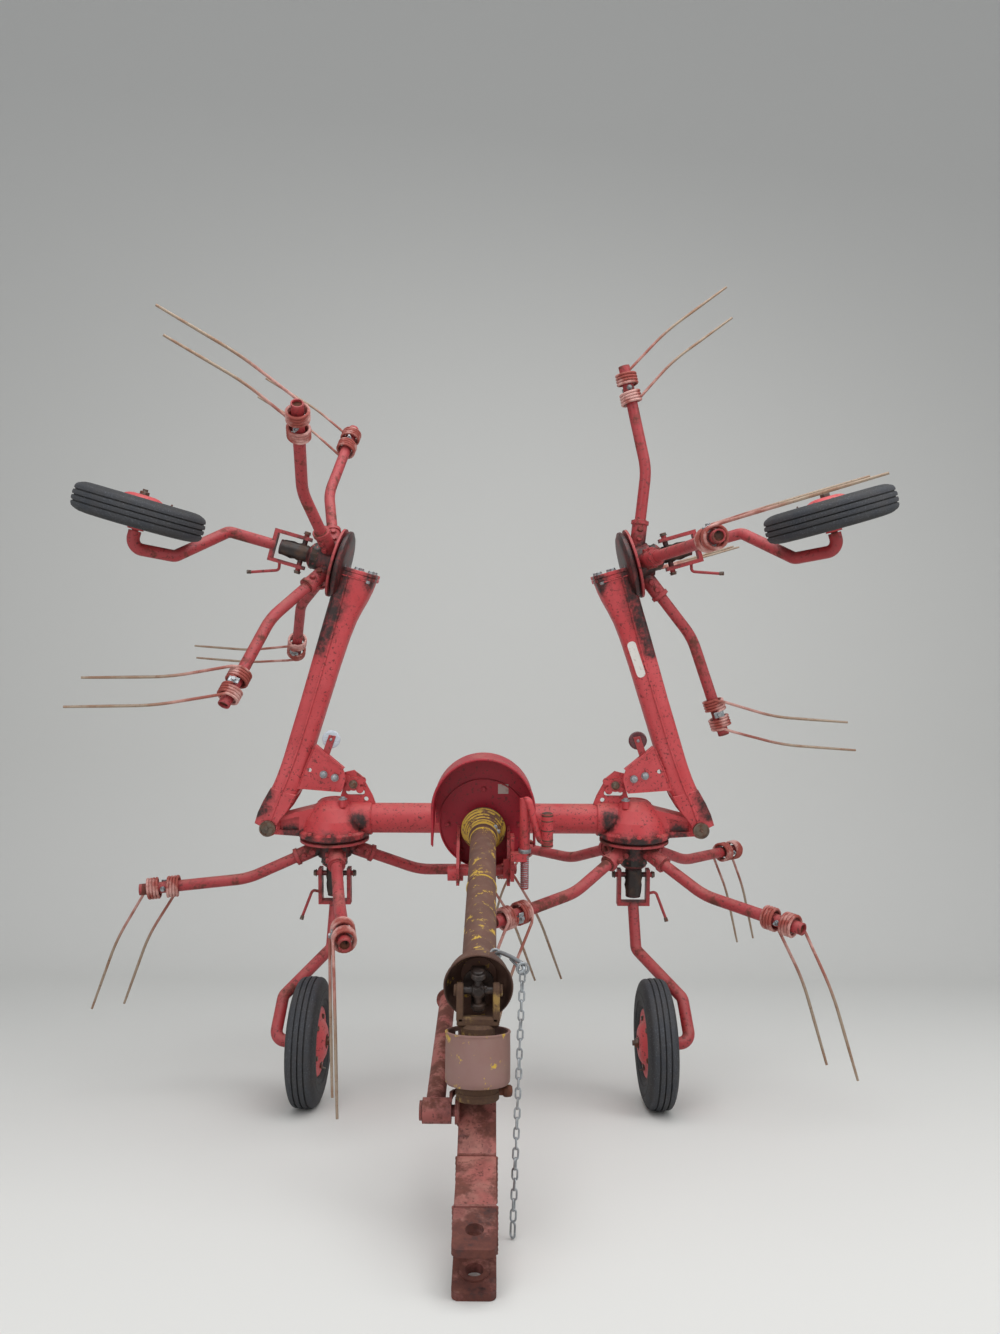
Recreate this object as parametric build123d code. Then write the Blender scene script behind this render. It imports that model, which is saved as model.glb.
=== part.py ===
"""Trailed four-rotor hay tedder, parked with its drawbar end on the ground and outer arms folded up.

Everything is drawn in the machine's level frame first: millimetres, X to the machine's left-hand
side as seen from the front (viewer's right), Y to the rear, Z up, the origin midway between the
inner rotor plates. At the end the whole machine is pitched to its parked stance.
"""
import math
import os

from build123d import *

# rotors
ROTOR_PITCH = 1050.0        # between the two inner rotor axes
ARMS_PER_ROTOR = 4
PLATE_R = 120.0
PLATE_T = 8.0
HUB_R = 58.0
HUB_BOTTOM = -64.0
TINE_ARM_R = 19.0           # tube radius of a rotor arm
ARM_ROOT_RADIUS = 50.0      # distance from the axis where the tube starts
ARM_BEND_RADIUS = 298.0     # distance from the axis where it bends towards level
ARM_TIP_RADIUS = 645.0
ARM_ROOT_Z = -31.0
ARM_ROOT_SLOPE = 22.0
ARM_TIP_SLOPE = 3.0
SOCKET_R = 26.0
SOCKET_END = 135.0
COLLAR_R = 30.0
COLLAR_LENGTH = 12.0

# spring tines
WIRE_R = 4.75
COIL_R = 37.0               # outer radius of a coil
COIL_WIDTH = 44.0
COIL_GAP = 24.0             # clamp between the two coils of an arm
COIL_END = 12.0             # bare tube beyond the outer coil
TINE_KNEE = (180.0, 31.0)   # drop of the first run, its outward lean in degrees
TINE_TIP = (235.0, 20.0)    # drop and lean of the second run

# outer arms and their fold
PIVOT_OUT = 219.0           # inner rotor axis to fold pivot
PIVOT_Z = 47.0
ARM_REACH = 941.0           # fold pivot to outer rotor axis
OUTER_RISE = 25.0           # outer rotor plate above the inner one, unfolded
FOLD = 106.0                # degrees from working position to the folded rest
PIN_R = 17.0
PIN_HEAD_R = 27.0
EAR_HALF = 42.0             # half thickness of the pivot ear
CHEEK_T = 14.0
CHEEK_GAP = 6.0
FIT = 0.05                  # radial clearance of a running fit
SEAT = 0.3                  # clearance of a piece on its seat

# wheels
WHEEL_R = 194.0
TYRE_W = 90.0
RIM_R = 104.0
WHEEL_FORWARD = 387.0       # wheel axle ahead of the rotor axis
WHEEL_DROP = 552.0          # wheel axle below the rotor plate
WHEEL_SIDE = 18.0           # wheel centre towards its leg's side of the rotor axis
AXLE_R = 10.0
HUB_TUBE_R = 24.0
LEG_R = 19.0
LEG_SIDE = 128.0            # leg tube beside the wheel

# stub and fork that carry a wheel leg below a rotor
STUB_R = 28.0
THRUST_R = 44.0
STUB_END = -205.0
FORK_HALF = 50.0
FORK_TOP = -108.0
FORK_BOTTOM = -236.0
FORK_BAR = 13.0
FORK_DEEP = 34.0

# frame
BEAM_R = 52.0
BEAM_BORE = 33.0
BEAM_Z = 70.0
BEAM_END = 430.0
CASE_WALL = 26.0             # case and the gears against it
FLANGE_R = 125.0
FLANGE_Z = 6.0              # gap between rotor plate and housing
DOME_TOP = 145.0
DRAW_W = 80.0
DRAW_H = 80.0
DRAW_LEVEL_Z = -36.0        # centre line of the rear level run
DRAW_REAR_Y = -235.0
DRAW_BEND_Y = -640.0
DRAW_KINK_Y = -1400.0
HITCH_Z = -347.0            # centre line of the level front run
HITCH_H = 94.0
HITCH_FRONT_Y = -1680.0
HITCH_HOLE_Y = -1626.0
HITCH_HOLE_R = 17.0
HITCH_PLATE_T = 15.0
HITCH_MOUTH = 118.0         # depth of the clevis mouth from the front edge

# drive shaft
SHAFT_JOINT_Y = -250.0      # rear universal joint
SHAFT_JOINT_Z = 92.0
CROSS_Y = -1254.0           # front universal joint
CROSS_Z = -16.0
GUARD_TUBE_R = 40.0
BELL_R = 77.0
BELL_LENGTH = 96.0
BELL_SET_BACK = 12.0        # mouth of the bell behind the joint's cross
CONE_R = 70.0
SLEEVE_R = 70.0
SLEEVE_TOP = 84.0           # below the front joint
SLEEVE_BOTTOM = 190.0
YOKE_END = 222.0
REST_CLEAR = 14.0              # the strap's upper edge above the yoke's end, clear of the sleeve
YOKE_R = 46.0
SPLINE_R = 17.5
SPLINE_DEPTH = 80.0

# parking stand beside the drawbar
STAND_Y = -1300.0
STAND_Z = -262.0
STAND_X = -92.0
STAND_LEG_R = 21.0
STAND_LENGTH = 560.0

# guard and crank at the centre gearbox
LOCK_Y = -12.0              # front face of the lock plates on the beam
GUARD_Y = -196.0
GUARD_Z = 100.0
GUARD_R = 147.0
HOOD_R = 162.0
HOOD_Z = 172.0
HOOD_FRONT_Y = -330.0
SHEET = 4.0
BEYOND = 4000.0              # longer than the machine, for cuts
CRANK_X = 130.0
CRANK_Y = -362.0

INNER_X = ROTOR_PITCH / 2
PIVOT_X = INNER_X + PIVOT_OUT
OUTER_X = PIVOT_X + ARM_REACH

# where each rotor stood when it stopped: degrees from straight ahead towards +X
ROTORS = {
    # name: (side, outer, phase)
    "inner_left": (-1, False, 12.0),
    "inner_right": (1, False, 42.0),
    "outer_left": (-1, True, 51.0),
    "outer_right": (1, True, 1.0),
}


def rod(start, end, radius):
    """Round bar between two points."""
    run = Vector(*end) - Vector(*start)
    return extrude(Plane(origin=start, z_dir=run) * Circle(radius), amount=run.length)


def bent_rod(points, radius, bend):
    """Round bar along straight runs with rounded corners."""
    path = FilletPolyline(*points, radius=bend)
    return sweep(Plane(origin=path @ 0, z_dir=path % 0) * Circle(radius), path=path)


def plate_xz(outline, y_front, thickness):
    """Flat plate drawn in X and Z, its front face at y_front, going back by its thickness."""
    face = make_face(Polyline(*[(x, z) for x, z in outline], close=True))
    return extrude(Plane.XZ.offset(-y_front) * face, amount=-thickness)


def across(x, y, z, radius, length):
    """Round bar along X, centred on a point."""
    return Pos(x, y, z) * Rot(0, 90, 0) * Cylinder(radius, length)


def along(x, y, z, radius, length):
    """Round bar along Y, centred on a point."""
    return Pos(x, y, z) * Rot(90, 0, 0) * Cylinder(radius, length)


def turned(profile):
    """Solid of revolution about Z from (radius, z) points."""
    return revolve(Plane.XZ * make_face(Polyline(*profile, close=True)), axis=Axis.Z)


def folded(shape):
    """Swing a right-hand piece from its working place to its folded place."""
    return Pos(PIVOT_X, 0, PIVOT_Z) * Rot(0, -FOLD, 0) * Pos(-PIVOT_X, 0, -PIVOT_Z) * shape


def flipped(shape):
    """The same piece for the other side of the machine."""
    return mirror(shape, about=Plane.YZ)


def arm_line():
    """Radius and height of a rotor arm's root, bend and tip."""
    bend_z = ARM_ROOT_Z - (ARM_BEND_RADIUS - ARM_ROOT_RADIUS) * math.tan(math.radians(ARM_ROOT_SLOPE))
    tip_z = bend_z - (ARM_TIP_RADIUS - ARM_BEND_RADIUS) * math.tan(math.radians(ARM_TIP_SLOPE))
    return (ARM_ROOT_RADIUS, ARM_ROOT_Z), (ARM_BEND_RADIUS, bend_z), (ARM_TIP_RADIUS, tip_z)


def arm_z(radius):
    """Height of the arm's outer run at a distance from the axis."""
    _, bend, _ = arm_line()
    return bend[1] - (radius - bend[0]) * math.tan(math.radians(ARM_TIP_SLOPE))


def rotor_hub(axis_x, base_z, phase):
    """Plate, hub, sockets and bent tube arms of one rotor."""
    plate = turned([(STUB_R + FIT, 0), (PLATE_R, 0), (PLATE_R, -PLATE_T), (HUB_R + 14, -PLATE_T),
                    (HUB_R, -PLATE_T - 12), (HUB_R, HUB_BOTTOM), (STUB_R + FIT, HUB_BOTTOM)])
    root, bend, tip = arm_line()
    slope = math.radians(ARM_ROOT_SLOPE)

    def on_run(radius):
        return (radius, 0, root[1] - (radius - root[0]) * math.tan(slope))

    arm = bent_rod([(root[0], 0, root[1]), (bend[0], 0, bend[1]), (tip[0], 0, tip[1])], TINE_ARM_R, 240)
    socket = rod(on_run(root[0]), on_run(SOCKET_END), SOCKET_R)
    collar = rod(on_run(SOCKET_END - COLLAR_LENGTH), on_run(SOCKET_END), COLLAR_R)
    spoke = arm + socket + collar
    spoke -= Cylinder(STUB_R + 8, 200)
    spokes = [Rot(0, 0, phase - 90 + 360 / ARMS_PER_ROTOR * i) * spoke for i in range(ARMS_PER_ROTOR)]
    hub = plate
    for spoke in spokes:
        hub += spoke
    hub -= Pos(0, 0, 50) * Cylinder(PLATE_R + 80, 100)
    return Pos(axis_x, 0, base_z) * hub


def rotor_tines(axis_x, base_z, phase):
    """The coil pairs with their two tines, one pair on each arm."""
    outer_end = ARM_TIP_RADIUS - COIL_END
    starts = [outer_end - 2 * COIL_WIDTH - COIL_GAP, outer_end - COIL_WIDTH]
    knee_drop, knee_lean = TINE_KNEE
    tip_drop, tip_lean = TINE_TIP
    pair = []
    for index, start in enumerate(starts):
        coil = rod((start, 0, arm_z(start)), (start + COIL_WIDTH, 0, arm_z(start + COIL_WIDTH)), COIL_R)
        root_r = start + WIRE_R if index == 0 else start + COIL_WIDTH - WIRE_R
        side = COIL_R - WIRE_R
        top = (root_r, side, arm_z(root_r))
        knee = (root_r + knee_drop * math.tan(math.radians(knee_lean)), side, top[2] - knee_drop)
        end = (knee[0] + tip_drop * math.tan(math.radians(tip_lean)), side, knee[2] - tip_drop)
        pair.append(coil + bent_rod([top, knee, end], WIRE_R, 60))
    clamp_r = starts[0] + COIL_WIDTH
    clamp = rod((clamp_r, 0, arm_z(clamp_r)), (clamp_r + COIL_GAP, 0, arm_z(clamp_r + COIL_GAP)),
                TINE_ARM_R + 6)
    spring = pair[0] + clamp + pair[1]
    bore = rod((starts[0] - 20, 0, arm_z(starts[0] - 20)),
               (ARM_TIP_RADIUS + 20, 0, arm_z(ARM_TIP_RADIUS + 20)), TINE_ARM_R)
    spring -= bore
    springs = [Rot(0, 0, phase - 90 + 360 / ARMS_PER_ROTOR * i) * spring for i in range(ARMS_PER_ROTOR)]
    return Pos(axis_x, 0, base_z) * Compound(children=springs)


def wheel_leg(axis_x, base_z, side):
    """Stub, fork, bent leg tube, axle and locking lever; side is where the leg bulges, +1 or -1."""
    stub = turned([(0, FLANGE_Z + 10), (STUB_R, FLANGE_Z + 10), (STUB_R, HUB_BOTTOM - SEAT),
                   (THRUST_R, HUB_BOTTOM - SEAT), (THRUST_R, FORK_TOP + 14), (STUB_R - 2, FORK_TOP),
                   (STUB_R - 2, STUB_END), (0, STUB_END)])
    fork = Pos(0, 0, (FORK_TOP + FORK_BOTTOM) / 2) * Box(
        2 * FORK_HALF + FORK_BAR, FORK_DEEP, FORK_TOP - FORK_BOTTOM)
    fork -= Pos(0, 0, (FORK_TOP + FORK_BOTTOM) / 2 + FORK_BAR) * Box(
        2 * FORK_HALF - FORK_BAR, FORK_DEEP + 2, FORK_TOP - FORK_BOTTOM)
    pin = across(0, 0, FORK_TOP - 20, 9, 2 * FORK_HALF + FORK_BAR + 16)
    leg = bent_rod([
        (0, -4, FORK_BOTTOM + 6),
        (0, -85, -365),
        (side * (LEG_SIDE - 8), -292, -448),
        (side * LEG_SIDE, -WHEEL_FORWARD, -WHEEL_DROP),
        (side * (WHEEL_SIDE + TYRE_W / 2 + 12), -WHEEL_FORWARD, -WHEEL_DROP),
    ], LEG_R, 34)
    axle_end = side * (WHEEL_SIDE - TYRE_W / 2 - 6)
    axle_start = side * (WHEEL_SIDE + TYRE_W / 2 + 14)
    axle = across((axle_start + axle_end) / 2, -WHEEL_FORWARD, -WHEEL_DROP, AXLE_R,
                  abs(axle_start - axle_end))
    nut = across(axle_end, -WHEEL_FORWARD, -WHEEL_DROP, AXLE_R + 6, 8)
    lever = bent_rod([(side * FORK_HALF, 0, FORK_BOTTOM + 40), (side * (FORK_HALF + 30), 0, FORK_BOTTOM + 46),
                      (side * (FORK_HALF + 62), -20, FORK_BOTTOM - 40)], 5, 12)
    body = stub + fork + pin + leg + axle + nut + lever
    return Pos(axis_x, 0, base_z) * body


def tyre():
    """Narrow ribbed tyre about the X axis, centred on the origin."""
    half = TYRE_W / 2
    shoulder = WHEEL_R - 16
    groove = 7
    profile = [(RIM_R, -half + 14), (RIM_R + 14, -half + 5), (150, -half), (shoulder, -half + 6),
               (WHEEL_R - 4, -half + 20)]
    for y in (-14, 14):
        profile += [(WHEEL_R, y - 6), (WHEEL_R - groove, y - 3), (WHEEL_R - groove, y + 3), (WHEEL_R, y + 6)]
    profile += [(WHEEL_R - 4, half - 20), (shoulder, half - 6), (150, half), (RIM_R + 14, half - 5),
                (RIM_R, half - 14)]
    return Rot(0, 90, 0) * turned(profile)


def rim(leg_side):
    """Rim of two pressed halves with its hub, the long end of it towards the leg, about the X axis."""
    half = TYRE_W / 2
    bore = AXLE_R + FIT
    profile = [(bore, -half + 2), (HUB_TUBE_R, -half + 2), (HUB_TUBE_R, -half + 8), (60, -half + 8),
               (88, -half + 14), (RIM_R, -half + 14), (RIM_R, half - 14), (88, half - 14),
               (60, half - 8), (HUB_TUBE_R, half - 8), (HUB_TUBE_R, half + 8), (bore, half + 8)]
    hollow = [(HUB_TUBE_R, -half + 12), (60, -half + 12), (88, -half + 18), (RIM_R - 4, -half + 18),
              (RIM_R - 4, half - 18), (88, half - 18), (60, half - 12), (HUB_TUBE_R, half - 12)]
    return Rot(0, 90 * leg_side, 0) * (turned(profile) - turned(hollow))


def inner_housing():
    """Gear housing over an inner rotor with the ear that carries the fold pivot."""
    dome = turned([(STUB_R, FLANGE_Z), (FLANGE_R - 12, FLANGE_Z), (FLANGE_R - 12, FLANGE_Z + 5),
                   (FLANGE_R, FLANGE_Z + 7), (FLANGE_R, FLANGE_Z + 22), (112, FLANGE_Z + 28),
                   (98, 72), (74, 112), (42, 138), (0, DOME_TOP), (0, FLANGE_Z + 10), (STUB_R, FLANGE_Z + 10)])
    web = plate_xz([(40, FLANGE_Z + 20), (40, 118), (120, 98), (PIVOT_OUT - 6, PIVOT_Z + 27),
                    (PIVOT_OUT, PIVOT_Z - 27), (118, FLANGE_Z + 7)], -EAR_HALF, 2 * EAR_HALF)
    web -= plate_xz([(116, 34), (116, 82), (PIVOT_OUT - 34, 66), (PIVOT_OUT - 34, 34)], -EAR_HALF - 1, 15)
    web -= plate_xz([(116, 34), (116, 82), (PIVOT_OUT - 34, 66), (PIVOT_OUT - 34, 34)], EAR_HALF - 14, 15)
    ear = along(PIVOT_OUT, 0, PIVOT_Z, 29, 2 * EAR_HALF)
    neck = across(-95, 0, BEAM_Z, BEAM_R + 7, 70)
    plug = Pos(-38, -52, 132) * Cylinder(12, 26)
    body = dome + web + ear + neck + plug
    body -= along(PIVOT_OUT, 0, PIVOT_Z, PIN_R + FIT, 3 * EAR_HALF)
    body -= Pos(0, 0, FLANGE_Z - 50) * Box(900, 400, 100)
    return Pos(INNER_X, 0, 0) * body


def fold_pin():
    """Pivot pin of an outer arm with its large head."""
    reach = EAR_HALF + CHEEK_GAP + CHEEK_T
    pin = along(PIVOT_X, 0, PIVOT_Z, PIN_R, 2 * reach + 8)
    head = along(PIVOT_X, -reach - 8, PIVOT_Z, PIN_HEAD_R, 12)
    nut = along(PIVOT_X, reach + 10, PIVOT_Z, PIN_HEAD_R - 4, 16)
    return pin + head + nut


ARM_STRAIGHT = ARM_REACH - 171   # where the arm stops growing taller, from the pivot
ARM_TIP = ARM_REACH - 61         # the arm's end inside the head
ARM_BELOW = [(0, -33), (290, -32), (ARM_STRAIGHT, -18), (ARM_TIP, -16)]
ARM_ABOVE = [(ARM_TIP, 96), (ARM_STRAIGHT, 107), (290, 90), (120, 60), (0, 37)]
ARM_HALF = 46.0             # half width of the pressed arm
ARM_WALL = 24.0              # pressed walls with the shaft tube inside


def outer_arm():
    """Pressed box arm, forked at the pivot, with seam ridge and the plate that the latch holds."""
    arm = plate_xz(ARM_BELOW + ARM_ABOVE, -ARM_HALF - 16, 2 * ARM_HALF + 32)
    arm += along(0, 0, 0, 35, 2 * ARM_HALF + 32)
    side_cut = plate_xz([(150, -80), (ARM_TIP + 20, -80), (ARM_TIP + 20, 160), (150, 160)], -ARM_HALF - 40, 40)
    arm -= side_cut
    arm -= Pos(0, 2 * ARM_HALF + 40, 0) * side_cut
    slot = 2 * (EAR_HALF + CHEEK_GAP)
    arm -= Pos(-20, 0, 0) * Box(300, slot, 300)
    inside = 2 * (ARM_HALF - ARM_WALL)
    arm -= Pos((360 + ARM_STRAIGHT) / 2, 0, 36) * Box(ARM_STRAIGHT - 360, inside, 62)
    arm -= along(0, 0, 0, PIN_R + FIT, 400)
    long_edges = arm.edges().filter_by(
        lambda edge: edge.center().X > 300 and edge.length > 300)
    arm = fillet(long_edges, 16)
    ridge = plate_xz([(160, 26), (290, 32), (ARM_STRAIGHT, 47), (ARM_TIP - 30, 48), (ARM_TIP - 30, 54),
                      (ARM_STRAIGHT, 53), (290, 38), (160, 32)], -ARM_HALF - 5, 12)
    lug = plate_xz([(168, 60), (196, 207), (238, 208), (270, 192), (318, 82)], -ARM_HALF - 4, 9)
    lug += plate_xz([(168, 60), (196, 207), (203, 207), (176, 60)], -ARM_HALF - 4, 20)
    lug += plate_xz([(310, 82), (264, 190), (270, 193), (318, 84)], -ARM_HALF - 4, 20)
    for z in (81, 133, 173):
        hole = along(231, -ARM_HALF, z, 8, 60)
        lug = lug - hole if z == 81 else lug + along(231, -ARM_HALF - 6, z, 11, 10)
    return Pos(PIVOT_X, 0, PIVOT_Z) * (arm + ridge + lug) - outer_head()


def outer_head():
    """Gear housing at the outer arm's end, over the outer rotor."""
    dome = turned([(STUB_R, FLANGE_Z), (FLANGE_R - 8, FLANGE_Z), (FLANGE_R - 8, FLANGE_Z + 18),
                   (104, FLANGE_Z + 24), (92, 70), (76, 104), (66, 116), (0, 116),
                   (0, FLANGE_Z + 10), (STUB_R, FLANGE_Z + 10)])
    cover = Pos(4, 0, 114) * extrude(RectangleRounded(104, 112, 20), amount=10)
    body = dome + cover
    return Pos(OUTER_X, 0, OUTER_RISE) * body


def lock_plate():
    """Slotted plate on the beam that the folded arm is locked to."""
    outline = [(376, 112), (391, 153), (426, 218), (454, 240), (500, 229), (495, 170), (512, 112)]
    plate = plate_xz(outline, LOCK_Y, 10)
    slot = Pos(450, LOCK_Y, 163) * Rot(90, 0, 0) * extrude(SlotOverall(66, 19), amount=30, both=True)
    plate -= slot
    plate -= along(412, LOCK_Y, 139, 8, 60)
    return plate - across(0, 0, BEAM_Z, BEAM_R, 2 * INNER_X) - inner_housing()


def latch():
    """Lobed latch on its pivot in front of the lock plate."""
    lobes = [(0, 0, 24), (-30, 12, 13), (-22, -20, 13), (22, 16, 12), (18, -14, 12)]
    plate = None
    for x, z, radius in lobes:
        lobe = along(455 + x, LOCK_Y - 4 - SEAT, 193 + z, radius, 8)
        plate = lobe if plate is None else plate + lobe
    return plate + along(455, LOCK_Y - 8, 193, 9, 16)


def reflector():
    """Round reflector on its strip, in working position on the arm."""
    back = -ARM_HALF + 16 + SEAT
    strip = plate_xz([(218, 100), (218, 130), (366, 140), (366, 110)], back, 4)
    disc = along(352, back - 4.5, 123, 32, 9)
    return Pos(PIVOT_X, 0, PIVOT_Z) * (strip + disc) - outer_arm()


def cross_beam():
    """Beam tubes from the centre gearbox to both inner housings, with the drive inside as part of the wall."""
    length = 2 * (INNER_X - 130)
    tube = across(0, 0, BEAM_Z, BEAM_R, length)
    return tube - across(0, 0, BEAM_Z, BEAM_BORE, length - 40) - Pos(0, 0, BEAM_Z) * Box(190, 190, 190)


def centre_gearbox():
    """Casting in the middle of the beam with its input shaft and the rear joint's yoke."""
    body = Pos(0, -20, 78) * Box(148, 210, 150)
    body = fillet(body.edges(), 18) + across(0, 0, BEAM_Z, BEAM_R + 9, 190)
    nose = along(0, -150, SHAFT_JOINT_Z, 52, 84)
    stub = along(0, (SHAFT_JOINT_Y - 190) / 2 - 4, SHAFT_JOINT_Z, 14, 66)
    eye = across(0, SHAFT_JOINT_Y, SHAFT_JOINT_Z, 19, 30)
    body = body + nose + stub + eye
    body -= Pos(0, -20, 78) * Box(148 - 2 * CASE_WALL, 210 - 2 * CASE_WALL, 150 - 2 * CASE_WALL)
    return body - across(0, SHAFT_JOINT_Y, SHAFT_JOINT_Z, 9 + FIT, 80)


def guard_plate():
    """Upright guard plate around the input shaft, closed by the hood above."""
    disc = along(0, GUARD_Y, GUARD_Z, GUARD_R, SHEET)
    disc += along(0, GUARD_Y, HOOD_Z, HOOD_R - SHEET, SHEET)
    disc += Pos(0, GUARD_Y, (HOOD_Z + GUARD_Z) / 2) * Box(2 * (HOOD_R - SHEET), SHEET, HOOD_Z - GUARD_Z)
    rim_ring = along(0, GUARD_Y - 4, GUARD_Z, GUARD_R, 12) - along(0, GUARD_Y - 4, GUARD_Z, GUARD_R - SHEET, 20)
    return disc + rim_ring - along(0, GUARD_Y, SHAFT_JOINT_Z, 30, 60) - tilt_bracket()


def guard_hood():
    """Half-round hood over the joint, its sides cut back to the plate."""
    depth = GUARD_Y + 2 - HOOD_FRONT_Y

    def arch(radius, foot):
        return (Pos(0, 0, HOOD_Z) * Rot(90, 0, 0) * Cylinder(radius, depth)
                + Pos(0, 0, (HOOD_Z + foot) / 2) * Box(2 * radius, depth, HOOD_Z - foot))

    shell = arch(HOOD_R, 50) - arch(HOOD_R - SHEET, 20)
    shell -= Pos(0, 0, HOOD_Z - 250) * Box(2 * HOOD_R - 2 * SHEET, depth + 2, 400)
    shell = Pos(0, (GUARD_Y + 2 + HOOD_FRONT_Y) / 2, 0) * shell
    skirt = Plane.YZ * make_face(Polyline(
        (HOOD_FRONT_Y - 5, 40), (HOOD_FRONT_Y - 5, 52), (GUARD_Y + 5, 150), (GUARD_Y + 5, 40), close=True))
    return shell - extrude(skirt, amount=300, both=True)


def tilt_bracket():
    """Side plates that join drawbar, gearbox and crank, with the pivot tube through them."""
    outline = [(-305, -78), (-318, -20), (-262, 60), (-190, 96), (-70, 96), (-70, 8), (-170, -78)]
    body = None
    for x in (-81, 81):
        face = Plane.YZ * make_face(Polyline(*outline, close=True))
        cheek = Pos(x - 5, 0, 0) * extrude(face, amount=10)
        body = cheek if body is None else body + cheek
    body += across(0, -278, -36, 17, 170)
    body += Pos(92, -322, 20) * Box(12, 60, 140)
    body += Pos(111, -362, 34) * Box(50, 34, 26)
    body += Pos(79, -310, -20) * Box(30, 14, 60)
    body += across(-90, -262, -50, 24, 50)
    return body - Pos(CRANK_X, CRANK_Y, 0) * Cylinder(12 + SEAT, 400)


def crank():
    """Tilt spindle with its tube, bent arm and grip."""
    tube = Pos(CRANK_X, CRANK_Y, 134) * Cylinder(16, 166)
    screw = Pos(CRANK_X, CRANK_Y, -8) * Cylinder(12, 120)
    arm = bent_rod([(CRANK_X, CRANK_Y, 205), (CRANK_X + 6, CRANK_Y - 12, 232), (CRANK_X + 46, CRANK_Y - 30, 96),
                    (CRANK_X + 68, CRANK_Y - 34, 84)], 11, 10)
    grip = Pos(CRANK_X + 68, CRANK_Y - 34, 126) * Cylinder(18, 104)
    return tube + screw + arm + grip


def drawbar():
    """Box tube drawbar: level behind, sloping down, level again to the hitch."""
    half_h, half_w = DRAW_H / 2, DRAW_W / 2
    front = HITCH_FRONT_Y + HITCH_MOUTH

    top = [(DRAW_REAR_Y, DRAW_LEVEL_Z + half_h), (DRAW_BEND_Y, DRAW_LEVEL_Z + half_h),
           (DRAW_KINK_Y, HITCH_Z + HITCH_H / 2), (front, HITCH_Z + HITCH_H / 2)]
    low = [(front, HITCH_Z - HITCH_H / 2), (DRAW_KINK_Y - 16, HITCH_Z - HITCH_H / 2),
           (DRAW_BEND_Y - 12, DRAW_LEVEL_Z - half_h), (DRAW_REAR_Y, DRAW_LEVEL_Z - half_h)]
    side = Plane.YZ * make_face(Polyline(*(top + low), close=True))
    tube = extrude(side, amount=half_w, both=True)
    tube -= across(0, -278, -36, 17 + SEAT, 300)
    return tube


def hitch_clevis():
    """Upper and lower plates with pin holes, joined by a block at the back of the mouth."""
    middle = HITCH_FRONT_Y + HITCH_MOUTH
    length = HITCH_MOUTH
    body = None
    for sign in (-1, 1):
        z = HITCH_Z + sign * (HITCH_H - HITCH_PLATE_T) / 2
        plate = Pos(0, HITCH_FRONT_Y + length / 2, z) * Box(DRAW_W, length, HITCH_PLATE_T)
        body = plate if body is None else body + plate
    body += Pos(0, middle - 8, HITCH_Z) * Box(DRAW_W, 16, HITCH_H)
    ring = Pos(0, HITCH_HOLE_Y, HITCH_Z - HITCH_H / 2 + HITCH_PLATE_T) * Cylinder(HITCH_HOLE_R + 11, 7)
    body += ring
    front_edges = body.edges().filter_by(Axis.Z).sort_by(Axis.Y)[:4]
    body = fillet(front_edges, 14)
    return body - Pos(0, HITCH_HOLE_Y, HITCH_Z) * Cylinder(HITCH_HOLE_R, 200)


def stand_pivot():
    """Pin on the drawbar's side that carries the parking stand."""
    pin = across(-(DRAW_W / 2 + 42), STAND_Y, STAND_Z, 12, 84)
    collar = across(-(DRAW_W / 2 + 4), STAND_Y, STAND_Z, 27, 8)
    washer = across(-(DRAW_W / 2 + 82), STAND_Y, STAND_Z, 20, 5)
    return pin + collar + washer


def parking_stand():
    """Stand leg folded back beside the drawbar, with its sleeve and foot."""
    sleeve = across(STAND_X + 5, STAND_Y, STAND_Z, 26, 62)
    leg = rod((STAND_X, STAND_Y + 5, STAND_Z), (STAND_X, STAND_Y + STAND_LENGTH, STAND_Z), STAND_LEG_R)
    foot = along(STAND_X, STAND_Y + STAND_LENGTH, STAND_Z, 30, 8)
    return sleeve + leg + foot - across(STAND_X, STAND_Y, STAND_Z, 12 + FIT, 200)


def shaft_frame():
    """Plane with Z along the drive shaft from the rear joint to the front one."""
    run = Vector(0, CROSS_Y - SHAFT_JOINT_Y, CROSS_Z - SHAFT_JOINT_Z)
    return Plane(origin=(0, SHAFT_JOINT_Y, SHAFT_JOINT_Z), x_dir=(1, 0, 0), z_dir=run), run.length


def shaft_tube():
    """Guard tube with the rear cone and the forked end on the rear joint's pin."""
    frame, length = shaft_frame()
    cone = turned([(CONE_R, -16), (CONE_R, 0), (GUARD_TUBE_R + 6, 58), (GUARD_TUBE_R + 6, 76),
                   (GUARD_TUBE_R, 76), (GUARD_TUBE_R, length - BELL_LENGTH + 26), (0, length - BELL_LENGTH + 26),
                   (0, 44), (GUARD_TUBE_R - 4, 44), (GUARD_TUBE_R + 2, 54), (CONE_R - 4, 0), (CONE_R - 4, -16)])
    fork = Pos(0, 0, 14) * Box(60, 26, 64) - Pos(0, 0, 4) * Box(31, 40, 60)
    pin = across(0, 0, 0, 9, 60)
    return frame * (cone + fork + pin)


def shaft_bell():
    """Open bell at the front end of the guard with its collar."""
    frame, length = shaft_frame()
    back = length - BELL_LENGTH
    bell = turned([(GUARD_TUBE_R + SEAT, back), (GUARD_TUBE_R + 7, back), (GUARD_TUBE_R + 7, back + 22),
                   (BELL_R - 10, back + 40), (BELL_R, length - BELL_SET_BACK), (BELL_R - 3, length - BELL_SET_BACK),
                   (BELL_R - 13, back + 42), (GUARD_TUBE_R + SEAT, back + 26)])
    return frame * bell


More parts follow.
